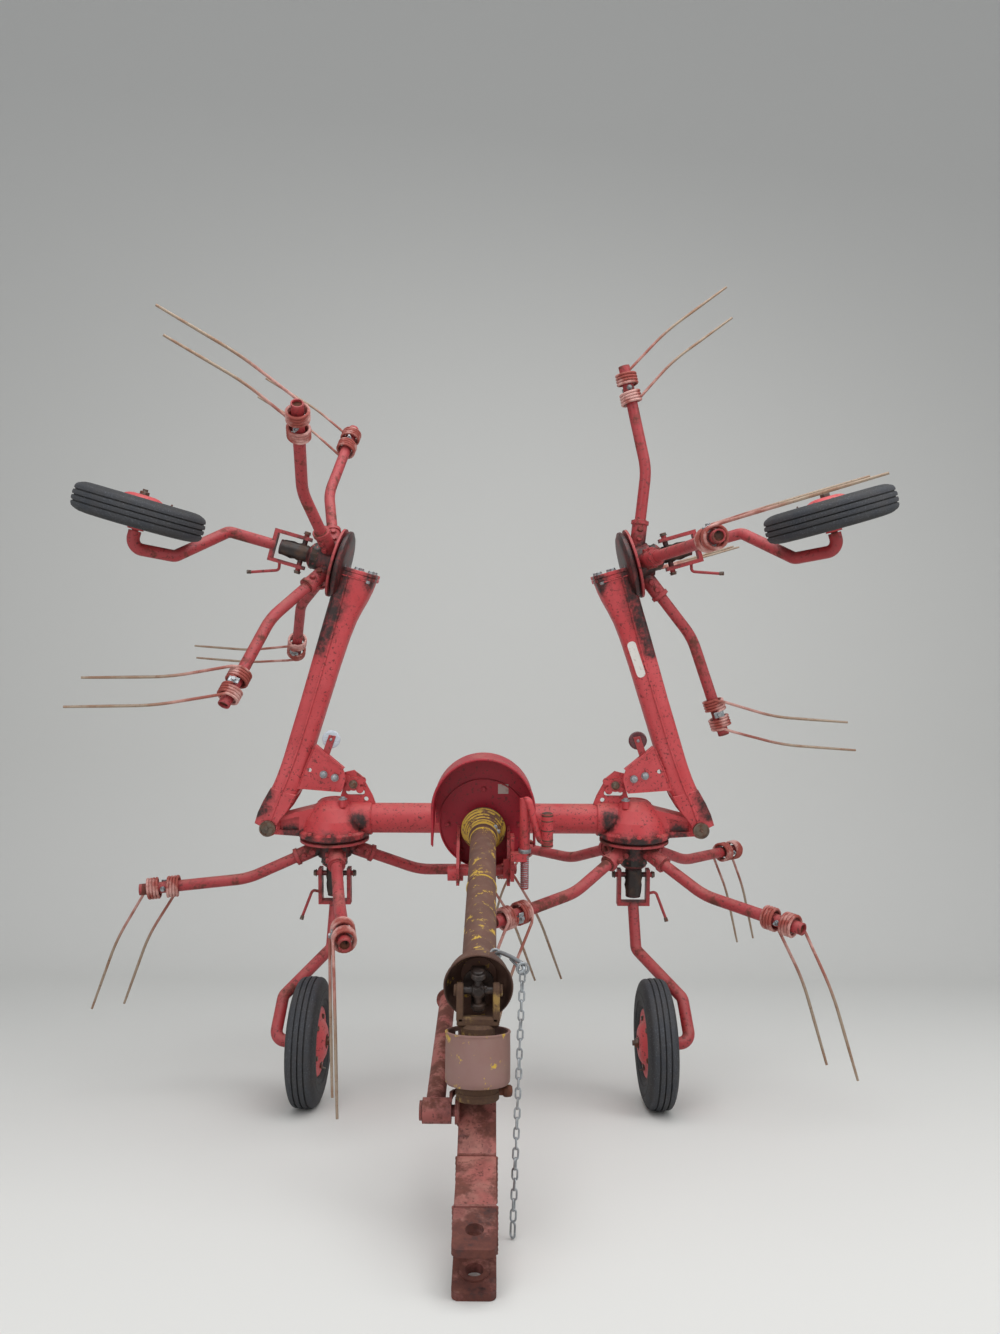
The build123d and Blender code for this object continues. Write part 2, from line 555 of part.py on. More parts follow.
def shaft_joint():
    """Rear yoke and cross of the front universal joint inside the bell."""
    frame, length = shaft_frame()
    start = length - BELL_LENGTH + 26
    core = Pos(0, 0, (start + length - 40) / 2) * Cylinder(22, length - 40 - start)
    yoke = Pos(0, 0, length - 24) * Box(30, 84, 62) - Pos(0, 0, length - 6) * Box(40, 54, 62)
    ears = Pos(0, 0, length) * Rot(90, 0, 0) * Cylinder(17, 84) - Pos(0, 0, length) * Box(60, 54, 60)
    cross = Pos(0, 0, length) * (Rot(90, 0, 0) * Cylinder(9, 70) + Cylinder(15, 24))
    pin = across(0, 0, length, 9, 84)
    return frame * (core + yoke + ears + cross + pin)


def park_pitch():
    """Nose-down angle with the wheels and the lower front edge of the clevis on the ground."""
    down = -WHEEL_DROP - (HITCH_Z - HITCH_H / 2)
    back = -WHEEL_FORWARD - HITCH_FRONT_Y
    return math.degrees(math.atan2(-down, back) + math.asin(WHEEL_R / math.hypot(down, back)))


def front_yoke_frame():
    """Plane at the front joint with Z straight down in the parked stance."""
    pitch = math.radians(park_pitch())
    return Plane(origin=(0, CROSS_Y, CROSS_Z), x_dir=(1, 0, 0), z_dir=(0, -math.sin(pitch), -math.cos(pitch)))


def front_yoke():
    """Hanging yoke with its splined end and lock knob."""
    ear = Pos(0, 0, 25) * Box(96, 32, 94) - Pos(0, 0, 13) * Box(64, 40, 86)
    caps = across(0, 0, 0, 21, 96) - Box(64, 60, 60)
    socket = Pos(0, 0, (60 + YOKE_END) / 2) * Cylinder(36, YOKE_END - 60)
    end = Pos(0, 0, (SLEEVE_BOTTOM - 20 + YOKE_END) / 2) * Cylinder(YOKE_R, YOKE_END - SLEEVE_BOTTOM + 20)
    knob = across(57, 0, SLEEVE_BOTTOM + 14, 12, 36)
    body = ear + caps + socket + end + knob
    body -= Pos(0, 0, YOKE_END - SPLINE_DEPTH / 2) * Cylinder(SPLINE_R, SPLINE_DEPTH)
    return front_yoke_frame() * (body - across(0, 0, 0, 9 + FIT, 200))


def yoke_sleeve():
    """Guard sleeve around the hanging yoke."""
    sleeve = turned([(36 + SEAT, SLEEVE_BOTTOM - 26), (SLEEVE_R - 6, SLEEVE_BOTTOM - 22),
                     (SLEEVE_R - 6, SLEEVE_TOP), (SLEEVE_R, SLEEVE_TOP), (SLEEVE_R, SLEEVE_BOTTOM - 6),
                     (SLEEVE_R - 8, SLEEVE_BOTTOM), (YOKE_R + SEAT, SLEEVE_BOTTOM), (YOKE_R + SEAT, SLEEVE_BOTTOM - 20 - SEAT),
                     (36 + SEAT, SLEEVE_BOTTOM - 20 - SEAT)])
    return front_yoke_frame() * sleeve


def shaft_rest():
    """Curved strap on the drawbar that keeps the hanging yoke from swinging aside."""
    low, high = YOKE_END - REST_CLEAR, YOKE_END + 26
    inner, outer = YOKE_R + 8, YOKE_R + 14
    ring = Pos(0, 0, (low + high) / 2) * (Cylinder(outer, high - low) - Cylinder(inner, high - low))
    keep = Pos(-50, -50, (low + high) / 2) * Box(112, 108, high - low)
    strap = front_yoke_frame() * (ring & keep)
    outline = Plane.YZ * make_face(Polyline(
        (DRAW_BEND_Y, DRAW_LEVEL_Z + DRAW_H / 2), (DRAW_KINK_Y, HITCH_Z + HITCH_H / 2),
        (DRAW_KINK_Y, HITCH_Z - 200), (DRAW_BEND_Y, HITCH_Z - 200), close=True))
    under = extrude(outline, amount=DRAW_W / 2, both=True)
    low_cut = Pos(0, 0, STAND_Z + 29 - 100) * Box(400, BEYOND, 200)
    outside = low_cut - Box(DRAW_W, BEYOND, BEYOND)
    return strap - under - outside


CHAIN_TOP = (96.0, -1275.0, 50.0)
CHAIN_END_X = 74.0
CHAIN_LENGTH = 520.0
CHAIN_R = 6.0


def chain():
    """Snap hook from the bell's collar and the hanging chain as a plain bar with its end link."""
    pitch = math.radians(park_pitch())
    end = (CHAIN_END_X, CHAIN_TOP[1] - CHAIN_LENGTH * math.sin(pitch),
           CHAIN_TOP[2] - CHAIN_LENGTH * math.cos(pitch))
    elbow = (46, -1186, 44)
    hook = rod((31, -1169, 25), elbow, 5) + Pos(*elbow) * Sphere(7)
    hook += rod(elbow, CHAIN_TOP, 5) + Pos(*CHAIN_TOP) * Sphere(9)
    return hook - shaft_bell() - shaft_tube() + rod(CHAIN_TOP, end, CHAIN_R) + Pos(*end) * Box(16, 10, 30)


def machine():
    """Every piece in the level frame, by name."""
    pieces = {
        "drawbar": drawbar(),
        "hitch_clevis": hitch_clevis(),
        "shaft_rest": shaft_rest(),
        "stand_pivot": stand_pivot(),
        "parking_stand": parking_stand(),
        "cross_beam": cross_beam(),
        "centre_gearbox": centre_gearbox(),
        "tilt_bracket": tilt_bracket(),
        "tilt_crank": crank(),
        "guard_plate": guard_plate(),
        "guard_hood": guard_hood(),
        "shaft_tube": shaft_tube(),
        "shaft_bell": shaft_bell(),
        "shaft_joint": shaft_joint(),
        "front_yoke": front_yoke(),
        "yoke_sleeve": yoke_sleeve(),
        "hitch_chain": chain(),
    }
    pairs = {
        "inner_housing": inner_housing(),
        "fold_pin": fold_pin(),
        "lock_plate": lock_plate(),
        "latch": latch(),
        "outer_arm": folded(outer_arm()),
        "outer_head": folded(outer_head()),
        "reflector": folded(reflector()),
    }
    for name, shape in pairs.items():
        pieces[name + "_right"] = shape
        pieces[name + "_left"] = flipped(shape)
    for name, (side, outer, phase) in ROTORS.items():
        axis_x = OUTER_X if outer else INNER_X
        base_z = OUTER_RISE if outer else 0.0
        leg_side = -1 if outer else 1
        hub_x = axis_x + leg_side * WHEEL_SIDE
        to_wheel = Pos(hub_x, -WHEEL_FORWARD, base_z - WHEEL_DROP)
        group = {
            "rotor_": rotor_hub(axis_x, base_z, side * phase),
            "tines_": rotor_tines(axis_x, base_z, side * phase),
            "leg_": wheel_leg(axis_x, base_z, leg_side),
            "tyre_": to_wheel * tyre(),
            "rim_": to_wheel * rim(leg_side),
        }
        for prefix, shape in group.items():
            if outer:
                shape = folded(shape)
            pieces[prefix + name] = shape if side > 0 else flipped(shape)
    return pieces


def parked(pieces):
    """Pitch the machine to its parked stance, with the floor's middle below it as the origin."""
    pitched = {name: Rot(park_pitch(), 0, 0) * shape for name, shape in pieces.items()}
    boxes = [shape.bounding_box() for shape in pitched.values()]
    low = [min(getattr(box.min, axis) for box in boxes) for axis in "XYZ"]
    high = [max(getattr(box.max, axis) for box in boxes) for axis in "XYZ"]
    shift = (-(low[0] + high[0]) / 2, -(low[1] + high[1]) / 2, -low[2])
    return {name: Pos(*shift) * shape for name, shape in pitched.items()}, shift


PIECES, SHIFT = parked(machine())
os.makedirs("parts", exist_ok=True)
for node_name, node_shape in PIECES.items():
    export_step(node_shape, f"parts/{node_name}.step")
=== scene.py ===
"""Trailed rotary hay tedder, parked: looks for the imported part, as one add-on."""
import math
import bmesh
import bpy
from mathutils import Matrix, Vector
from mathutils.geometry import tessellate_polygon


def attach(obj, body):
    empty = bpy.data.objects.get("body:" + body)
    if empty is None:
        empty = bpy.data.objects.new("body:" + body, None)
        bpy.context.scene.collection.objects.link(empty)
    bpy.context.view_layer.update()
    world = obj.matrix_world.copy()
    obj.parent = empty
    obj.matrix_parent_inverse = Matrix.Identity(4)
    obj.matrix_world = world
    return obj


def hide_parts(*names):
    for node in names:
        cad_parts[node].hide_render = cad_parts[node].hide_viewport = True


bl_info = {
    "name": "Parked Hay Tedder",
    "version": (1, 0, 0),
    "blender": (4, 5, 0),
    "location": "3D View > Sidebar > Tedder",
    "description": "Builds the worn looks of a parked four-rotor hay tedder",
    "category": "Object",
}

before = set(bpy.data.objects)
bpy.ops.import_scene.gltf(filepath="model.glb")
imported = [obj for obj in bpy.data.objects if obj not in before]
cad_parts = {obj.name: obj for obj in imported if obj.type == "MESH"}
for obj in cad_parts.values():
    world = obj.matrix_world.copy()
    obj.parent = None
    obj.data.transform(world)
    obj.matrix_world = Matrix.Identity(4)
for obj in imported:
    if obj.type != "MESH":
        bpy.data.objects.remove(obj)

# The machine is laid out level, in mm, and then set nose-down on its clevis.
PITCH = math.radians(15.53177564)
SHIFT = Vector((33.00434, 301.22971, 829.47017)) / 1000
PARKED = Matrix.Translation(SHIFT) @ Matrix.Rotation(PITCH, 4, "X")
FLIP = Matrix.Diagonal((-1, 1, 1, 1))
# fold pin of an outer arm, in mm
PIVOT_X, PIVOT_Z = 744.0, 47.0
PIVOT = Vector((PIVOT_X, 0, PIVOT_Z)) / 1000
FOLDED = Matrix.Translation(PIVOT) @ Matrix.Rotation(math.radians(-106), 4, "Y") @ Matrix.Translation(-PIVOT)
INNER_X, OUTER_X, OUTER_RISE = 525.0, 1685.0, 25.0
WHEEL_FORWARD, WHEEL_DROP, WHEEL_SIDE = 387.0, 552.0, 18.0
# turn flat XY outlines upright, their thickness towards -Y or +X
UPRIGHT = Matrix.Rotation(math.pi / 2, 4, "X")
ACROSS = Matrix(((0, 0, 1, 0), (1, 0, 0, 0), (0, 1, 0, 0), (0, 0, 0, 1)))
FORWARD, INWARD = (0, -1, 0), (0, 1, 0)
# rotor: side, outer, phase in degrees
ROTORS = {
    "inner_left": (-1, False, 12), "inner_right": (1, False, 42),
    "outer_left": (-1, True, 51), "outer_right": (1, True, 1),
}
SIDES = {"left": -1, "right": 1}


def placing(side, outer):
    """Matrix from the level right-hand layout to the parked machine."""
    matrix = PARKED
    if side < 0:
        matrix = matrix @ FLIP
    if outer:
        matrix = matrix @ FOLDED
    return matrix


def turn_z(degrees):
    return Matrix.Rotation(math.radians(degrees), 4, "Z")


def at(x, y, z):
    """Move by millimetres."""
    return Matrix.Translation((x / 1000, y / 1000, z / 1000))


def arc(radius, start, end, count):
    """Flat (x, y) points on a circle about zero, from one angle to another in degrees."""
    angles = [math.radians(start + (end - start) * step / (count - 1)) for step in range(count)]
    return [(radius * math.cos(angle), radius * math.sin(angle)) for angle in angles]


def aim(point, axis):
    """Matrix that puts local Z along an axis at a point in mm."""
    quaternion = Vector(axis).normalized().to_track_quat("Z", "Y")
    return at(*point) @ quaternion.to_matrix().to_4x4()


# --- shapes: lists of points in metres, faces, and a shade value for each point ---

def joined(*shapes):
    points, faces, shades = [], [], []
    for more_points, more_faces, more_shades in shapes:
        base = len(points)
        points += more_points
        faces += [tuple(index + base for index in face) for face in more_faces]
        shades += more_shades
    return points, faces, shades


def moved(shape, matrix):
    points, faces, shades = shape
    if matrix.to_3x3().determinant() < 0:
        faces = [tuple(reversed(face)) for face in faces]
    return [matrix @ Vector(point) for point in points], faces, shades


def swept(path, radius, sides=12, capped=True, looped=False, shades=None):
    """Round bar along points in mm; radius may be one value or one for each point."""
    spots = [Vector(point) / 1000 for point in path]
    count = len(spots)
    radii = radius if isinstance(radius, list) else [radius] * count
    tangents = []
    for index in range(count):
        if looped:
            step = spots[(index + 1) % count] - spots[index - 1]
        else:
            step = spots[min(index + 1, count - 1)] - spots[max(index - 1, 0)]
        tangents.append(step.normalized())
    normal = tangents[0].orthogonal().normalized()
    points, faces, values = [], [], []
    for index, spot in enumerate(spots):
        if index:
            normal = tangents[index - 1].rotation_difference(tangents[index]) @ normal
        other = tangents[index].cross(normal).normalized()
        for side in range(sides):
            angle = 2 * math.pi * side / sides
            points.append(spot + (normal * math.cos(angle) + other * math.sin(angle)) * radii[index] / 1000)
            values.append(shades[index] if shades else 0.0)
    rings = count if looped else count - 1
    shift = 0
    if looped:
        last = tangents[-1].rotation_difference(tangents[0]) @ normal
        other = tangents[0].cross(tangents[0].orthogonal()).normalized()
        first = tangents[0].orthogonal().normalized()
        angle = math.atan2(last.dot(other), last.dot(first))
        shift = round(-angle / (2 * math.pi) * sides)
    for ring in range(rings):
        a, b = ring * sides, ((ring + 1) % count) * sides
        turn = shift if looped and ring == rings - 1 else 0
        for side in range(sides):
            faces.append((a + side, a + (side + 1) % sides,
                          b + (side + 1 - turn) % sides, b + (side - turn) % sides))
    if capped and not looped:
        faces.append(tuple(reversed(range(sides))))
        faces.append(tuple(range((count - 1) * sides, count * sides)))
    return points, faces, values


def spun(profile, sides=48, closed=False, shades=None):
    """Turned shape about Z from (radius, z) points in mm."""
    points, faces, values, rings = [], [], [], []
    for index, (radius, height) in enumerate(profile):
        value = shades[index] if shades else 0.0
        if radius < 0.01:
            rings.append([len(points)] * sides)
            points.append(Vector((0, 0, height / 1000)))
            values.append(value)
            continue
        rings.append(list(range(len(points), len(points) + sides)))
        for side in range(sides):
            angle = 2 * math.pi * side / sides
            points.append(Vector((radius * math.cos(angle), radius * math.sin(angle), height)) / 1000)
            values.append(value)
    last = len(rings) if closed else len(rings) - 1
    for index in range(last):
        low, high = rings[index], rings[(index + 1) % len(rings)]
        for side in range(sides):
            after = (side + 1) % sides
            face = [low[side], low[after], high[after], high[side]]
            face = [spot for place, spot in enumerate(face) if spot not in face[:place]]
            if len(face) > 2:
                faces.append(tuple(face))
    return points, faces, values


def slab(outline, thickness, edge=1.0):
    """Flat plate of an XY outline in mm (anticlockwise) rising along Z, with chamfered edges."""
    count = len(outline)
    centre_in = []
    for index in range(count):
        before, here, after = (Vector(outline[(index + step) % count]) for step in (-1, 0, 1))
        one, two = (here - before).normalized(), (after - here).normalized()
        inward = Vector((-one.y, one.x)) + Vector((-two.y, two.x))
        length = inward.length
        scale = edge * 2 / max(length * length, 0.4)
        centre_in.append(here + inward * scale)
    rings = [(centre_in, 0), (outline, edge), (outline, thickness - edge), (centre_in, thickness)]
    points, faces = [], []
    for ring, height in rings:
        points += [Vector((spot[0], spot[1], height)) / 1000 for spot in ring]
    for level in range(3):
        for index in range(count):
            after = (index + 1) % count
            faces.append((level * count + index, level * count + after,
                          (level + 1) * count + after, (level + 1) * count + index))
    faces.append(tuple(reversed(range(count))))
    faces.append(tuple(range(3 * count, 4 * count)))
    return points, faces, [0.0] * len(points)


def punched(outline, thickness, holes=()):
    """Flat plate of an XY outline in mm with round holes (x, y, radius), rising along Z."""
    loops = [[Vector((x, y, 0)) for x, y in outline]]
    for x, y, radius in holes:
        loops.append([Vector((x + dx, y + dy, 0)) for dx, dy in arc(radius, 0, 360, 29)[:-1]])
    flat = [spot for loop in loops for spot in loop]
    count = len(flat)
    points = [spot / 1000 for spot in flat] + [Vector((spot.x, spot.y, thickness)) / 1000 for spot in flat]
    faces = []
    for triangle in tessellate_polygon(loops):
        faces.append(tuple(triangle))
        faces.append(tuple(index + count for index in reversed(triangle)))
    start = 0
    for loop in loops:
        for index in range(len(loop)):
            after = (index + 1) % len(loop)
            faces.append((start + index, start + after, start + after + count, start + index + count))
        start += len(loop)
    return points, faces, [0.0] * len(points)


def lofted(rings):
    """Skin over rings of equally many points in mm, closed at both ends."""
    count, last = len(rings[0]), len(rings) - 1
    points = [Vector(spot) / 1000 for ring in rings for spot in ring]
    faces = [(level * count + index, level * count + (index + 1) % count,
              (level + 1) * count + (index + 1) % count, (level + 1) * count + index)
             for level in range(last) for index in range(count)]
    faces += [tuple(reversed(range(count))), tuple(range(last * count, (last + 1) * count))]
    return points, faces, [0.0] * len(points)


def rounded_box(size, edge=2.0):
    """Box about its centre, in mm, with chamfered edges."""
    x, y, z = (value / 2 for value in size)
    outline = [(-x + edge, -y), (x - edge, -y), (x, -y + edge), (x, y - edge),
               (x - edge, y), (-x + edge, y), (-x, y - edge), (-x, -y + edge)]
    return moved(slab(outline, size[2], edge), at(0, 0, -z))


def hexagon(across, corner=30):
    return arc(across / 2 / math.cos(math.pi / 6), corner, corner + 300, 6)


def hex_head(across, height, washer=True):
    """Bolt head standing on Z = 0 with its washer."""
    top = spun([(0, height), (across * 0.46, height), (across * 0.5, height - 1.2),
                (across * 0.5, height - 2.2), (0, height - 2.2)], 24)
    shape = joined(slab(hexagon(across), height - 0.8, 0.7), top)
    if washer:
        ring = [(0, -1), (across * 0.66, -1), (across * 0.68, 1.2), (across * 0.62, 2), (0, 2)]
        shape = joined(shape, spun(ring, 28))
    return shape


def bolt(across, height, point, axis):
    """Bolt head with its washer at a point in mm, its top along an axis."""
    return moved(hex_head(across, height), aim(point, axis))


def curve_points(points, radius, steps=6):
    """Polyline with its corners rounded."""
    result = [Vector(points[0])]
    for before, here, after in zip(points, points[1:], points[2:]):
        before, here, after = Vector(before), Vector(here), Vector(after)
        one, two = (before - here), (after - here)
        reach = min(radius, one.length * 0.48, two.length * 0.48)
        start, end = here + one.normalized() * reach, here + two.normalized() * reach
        for step in range(steps + 1):
            t = step / steps
            result.append(start * (1 - t) ** 2 + here * 2 * t * (1 - t) + end * t * t)
    result.append(Vector(points[-1]))
    return result


def piece(name, shape, materials, body, nodes=(), smooth=35, indices=None):
    """One visible piece: a cleaned mesh that rides on a body and stands for CAD nodes."""
    name = name.lower().replace(" ", "_")
    mesh = bpy.data.meshes.new(name)
    mesh.from_pydata([tuple(point) for point in shape[0]], [], shape[1])
    mesh.update()
    shade = mesh.attributes.new("shade", "FLOAT", "POINT")
    shade.data.foreach_set("value", shape[2])
    work = bmesh.new()
    work.from_mesh(mesh)
    bmesh.ops.recalc_face_normals(work, faces=work.faces[:])
    work.to_mesh(mesh)
    work.free()
    for material in materials:
        mesh.materials.append(material)
    if indices:
        mesh.polygons.foreach_set("material_index", indices)
    mesh.polygons.foreach_set("use_smooth", [True] * len(mesh.polygons))
    mesh.set_sharp_from_angle(angle=math.radians(smooth))
    made = bpy.data.objects.new(name, mesh)
    bpy.context.scene.collection.objects.link(made)
    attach(made, body)
    if nodes:
        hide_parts(*nodes)
    return made


# --- finishes ---

# how dark the enamel is on what the crop and the weather reach most
WORN, WORN_CHALK = 0.68, 0.74


def hex_colour(text):
    """sRGB hex to linear RGB."""
    values = []
    for place in (1, 3, 5):
        value = int(text[place:place + 2], 16) / 255
        values.append(value / 12.92 if value <= 0.04045 else ((value + 0.055) / 1.055) ** 2.4)
    return tuple(values)


def linear(value):
    """A colour given in hex as linear RGB; anything else as it is."""
    return hex_colour(value) if isinstance(value, str) else value


def add(tree, kind, settings=None, links=None):
    """A node with its settings and links; text keys that name a property set it, other keys are sockets."""
    node = tree.nodes.new("ShaderNode" + kind)
    for key, value in (settings or {}).items():
        if isinstance(key, str) and key[0].islower():
            setattr(node, key, value)
        else:
            node.inputs[key].default_value = (*value, 1.0) if key in ("Base Color",) or key in (6, 7) else value
    for key, source in (links or {}).items():
        tree.links.new(source, node.inputs[key])
    return node


def new_finish(name):
    material = bpy.data.materials.new(name)
    material.use_nodes = True
    tree = material.node_tree
    tree.nodes.clear()
    return material, tree, add(tree, "TexCoord").outputs["Object"]


def patches(tree, place, size, low, high, seed=0.0, detail=5.0, rough=0.55):
    """Mask of soft patches about size mm wide."""
    noise = add(tree, "TexNoise", {"noise_dimensions": "4D", "W": seed, "Scale": 1000 / size,
                                   "Detail": detail, "Roughness": rough}, {"Vector": place})
    return add(tree, "MapRange", {"From Min": low, "From Max": high}, {"Value": noise.outputs[0]}).outputs[0]


def combined(tree, operation, *masks):
    result = masks[0]
    for mask in masks[1:]:
        settings = {"operation": operation, "use_clamp": True}
        links = {0: result}
        if isinstance(mask, float):
            settings[1] = mask
        else:
            links[1] = mask
        result = add(tree, "Math", settings, links).outputs[0]
    return result


def worn_edges(tree, width, low, high):
    """Mask of outer edges about width mm wide, where use has rubbed the coat off."""
    bevel = add(tree, "Bevel", {"samples": 6, "Radius": width / 1000})
    true_normal = add(tree, "NewGeometry")
    facing = add(tree, "VectorMath", {"operation": "DOT_PRODUCT"},
                 {0: bevel.outputs[0], 1: true_normal.outputs["Normal"]})
    return add(tree, "MapRange", {"From Min": 1 - low, "From Max": 1 - high},
               {"Value": facing.outputs["Value"]}).outputs[0]


def spots_near(tree, place, spots):
    """Mask that fades out from each (point in metres, radius in metres)."""
    result = None
    for point, radius in spots:
        away = add(tree, "VectorMath", {"operation": "DISTANCE", 1: tuple(point)}, {0: place})
        near = add(tree, "MapRange", {"From Min": radius * 1.2, "From Max": radius * 0.6},
                   {"Value": away.outputs["Value"]}).outputs[0]
        result = near if result is None else combined(tree, "MAXIMUM", result, near)
    return result


def layered(tree, base, layers):
    """Colours, or plain levels such as roughness, laid over each other; layers give mask, value and mask factors."""
    level = isinstance(layers[0][1], float)
    kind, low, high, result = ("FLOAT", 2, 3, 0) if level else ("RGBA", 6, 7, 2)
    if not isinstance(base, bpy.types.NodeSocket):
        start = add(tree, "Value" if level else "RGB")
        start.outputs[0].default_value = base if level else (*linear(base), 1.0)
        base = start.outputs[0]
    for mask, value, *factors in layers:
        mask = combined(tree, "MULTIPLY", mask, *factors)
        base = add(tree, "Mix", {"data_type": kind, high: linear(value)}, {0: mask, low: base}).outputs[result]
    return base


def surface(tree, colour, roughness, bump=None, **settings):
    """Principled surface with an optional (height, distance in mm, strength) bump."""
    sockets = {"IOR": 1.5, "Metallic": 0.0}
    links = {}
    for key, value in settings.items():
        key = key.replace("_", " ")
        if isinstance(value, bpy.types.NodeSocket):
            sockets.pop(key, None)
            links[key] = value
        else:
            sockets[key] = value
    for key, value in (("Base Color", colour), ("Roughness", roughness)):
        if isinstance(value, bpy.types.NodeSocket):
            links[key] = value
        else:
            sockets[key] = value
    if bump:
        height, distance, strength = bump
        links["Normal"] = add(tree, "Bump", {"Strength": strength, "Distance": distance / 1000},
                              {"Height": height}).outputs[0]
    body = add(tree, "BsdfPrincipled", sockets, links)
    add(tree, "OutputMaterial", None, {0: body.outputs[0]})


def sprayed_enamel(name, seed, chips, fade=0.4, rust_over=0.0, dark=1.0, grease=(), amount=1.0,
                   colour=None, faded=None, rust=None):
    """Alkyd enamel sprayed on steel: chalked by sun, chipped to rust at its edges, dusty, greasy where named.

    The machine's red, made darker by a factor, is used where no colour is given; amount scales the grease.
    """
    paint = bpy.context.scene.tedder_paint
    colour = colour or tuple(value * dark for value in paint.red)
    faded = faded or tuple(paint.chalked)
    rust, chips = rust or tuple(paint.rust), chips * 2 * paint.chips
    material, tree, place = new_finish(name)
    normal = add(tree, "NewGeometry").outputs["Normal"]
    upward = add(tree, "SeparateXYZ", None, {0: normal}).outputs[2]
    upward = add(tree, "MapRange", {"From Min": 0.1, "From Max": 1.0}, {"Value": upward}).outputs[0]
    chalk = combined(tree, "MULTIPLY", patches(tree, place, 210, 0.35, 0.68, seed), float(fade))
    chalk = combined(tree, "ADD", chalk, combined(tree, "MULTIPLY", upward, 0.35 * fade))
    mottle = patches(tree, place, 26, 0.35, 0.7, seed + 3)
    dust = combined(tree, "MULTIPLY", patches(tree, place, 60, 0.4, 0.75, seed + 7), upward, 0.45)
    edge = worn_edges(tree, 5, 0.02, 0.16)
    edge = combined(tree, "MULTIPLY", edge,
                    patches(tree, place, 22, 0.62 - 0.2 * chips, 0.72 - 0.15 * chips, seed + 11, 6.0, 0.65))
    region = patches(tree, place, 170, 0.42, 0.62, seed + 15)
    # flakes are about 5 mm across, coarser than real pinholes so that they show
    flake = patches(tree, place, 17, 0.69 - 0.1 * chips, 0.71 - 0.1 * chips, seed + 19, 7.0, 0.62)
    flake = combined(tree, "MULTIPLY", flake, region)
    bare = combined(tree, "MAXIMUM", edge, flake)
    if rust_over:
        over = patches(tree, place, 75, 0.62 - 0.3 * rust_over, 0.7 - 0.3 * rust_over, seed + 23, 8.0, 0.68)
        bare = combined(tree, "MAXIMUM", bare, combined(tree, "MULTIPLY", over, 0.9))
    rust_tone = patches(tree, place, 9, 0.3, 0.75, seed + 27)
    # specks are about 3 mm across, coarser than real pinholes so that they show
    speck = combined(tree, "MULTIPLY", patches(tree, place, 9, 0.57, 0.63, seed + 41, 3.0, 0.6),
                     patches(tree, place, 120, 0.32, 0.52, seed + 43))
    colour_out = layered(tree, colour, [
        (chalk, faded),
        (mottle, tuple(value * 0.45 for value in colour), 0.16),
        (dust, "#A58F7C"),
        (speck, "#43201D", 0.75),
        (bare, rust),
        (bare, "#3A2420", rust_tone, 0.6),
    ])
    rough = layered(tree, 0.46, [(chalk, 0.62), (dust, 0.85), (bare, 0.9)])
    height = combined(tree, "MULTIPLY", mottle, 0.12)
    if grease:
        near = spots_near(tree, place, grease)
        large = patches(tree, place, 42, 0.3, 0.7, seed + 31, 7.0, 0.62)
        small = patches(tree, place, 9, 0.35, 0.65, seed + 33, 6.0, 0.6)
        broken = combined(tree, "ADD", combined(tree, "MULTIPLY", large, 0.34), combined(tree, "MULTIPLY", small, 0.16))
        laid = combined(tree, "ADD", combined(tree, "MULTIPLY", near, 0.5 * amount * paint.grease), broken)
        fringe, stain, wet = (
            add(tree, "MapRange", {"From Min": low, "From Max": high}, {"Value": source}).outputs[0]
            for low, high, source in ((0.0, 0.15, near), (0.4, 0.72, laid), (0.6, 0.82, laid)))
        thick = patches(tree, place, 7, 0.3, 0.7, seed + 37)
        colour_out = layered(tree, colour_out, [
            (stain, "#4A221F", fringe, 0.7),
            (wet, "#1D1413", 0.94)])
        rough = layered(tree, rough, [(wet, 0.42)])
        height = combined(tree, "ADD", height, combined(tree, "MULTIPLY", wet, thick, 0.9))
    paint_edge = add(tree, "Math", {"operation": "MULTIPLY_ADD", 1: -0.8, 2: 0.8}, {0: bare}).outputs[0]
    height = add(tree, "Math", {"operation": "ADD"}, {0: height, 1: paint_edge}).outputs[0]
    surface(tree, colour_out, rough, (height, 0.5, 0.55))
    return material


def dipped_zinc(name):
    """Hot-dip zinc on steel: spangled grey crystals, dull and slightly uneven."""
    if name in bpy.data.materials:
        return bpy.data.materials[name]
    material, tree, place = new_finish(name)
    crystal = add(tree, "TexVoronoi", {"Scale": 1000 / 7, "Randomness": 1.0}, {"Vector": place})
    tone = add(tree, "SeparateColor", None, {0: crystal.outputs["Color"]}).outputs[0]
    stain = patches(tree, place, 24, 0.5, 0.75, 2.0)
    colour = layered(tree, "#A9ADB0", [
        (tone, "#7F868B", 0.45),
        (stain, "#6E5A4C", 0.5)])
    rough = layered(tree, 0.38, [(tone, 0.52), (stain, 0.7)])
    surface(tree, colour, rough, (tone, 0.15, 0.2), Metallic=0.85)
    return material


def bare_steel(name, rusty=0.5, tone="#6E625A", seed=0.0):
    """Turned or forged steel left bare: brown bloom of rust over dull metal, oily in places."""
    material, tree, place = new_finish(name)
    bloom = patches(tree, place, 20, 0.62 - 0.3 * rusty, 0.75 - 0.25 * rusty, seed, 7.0, 0.65)
    grain = patches(tree, place, 5, 0.3, 0.7, seed + 5)
    oil = patches(tree, place, 45, 0.52, 0.62, seed + 9)
    colour = layered(tree, hex_colour(tone), [
        (bloom, "#74412C"), (grain, "#43271D", bloom, 0.6),
        (oil, "#211A17", 0.7)])
    rough = layered(tree, 0.42, [(bloom, 0.85), (oil, 0.4)])
    metal = layered(tree, 0.9, [(bloom, 0.1), (oil, 0.2)])
    height = combined(tree, "ADD", combined(tree, "MULTIPLY", bloom, 0.5), combined(tree, "MULTIPLY", grain, 0.4))
    surface(tree, colour, rough, (height, 0.4, 0.5), Metallic=metal)
    return material


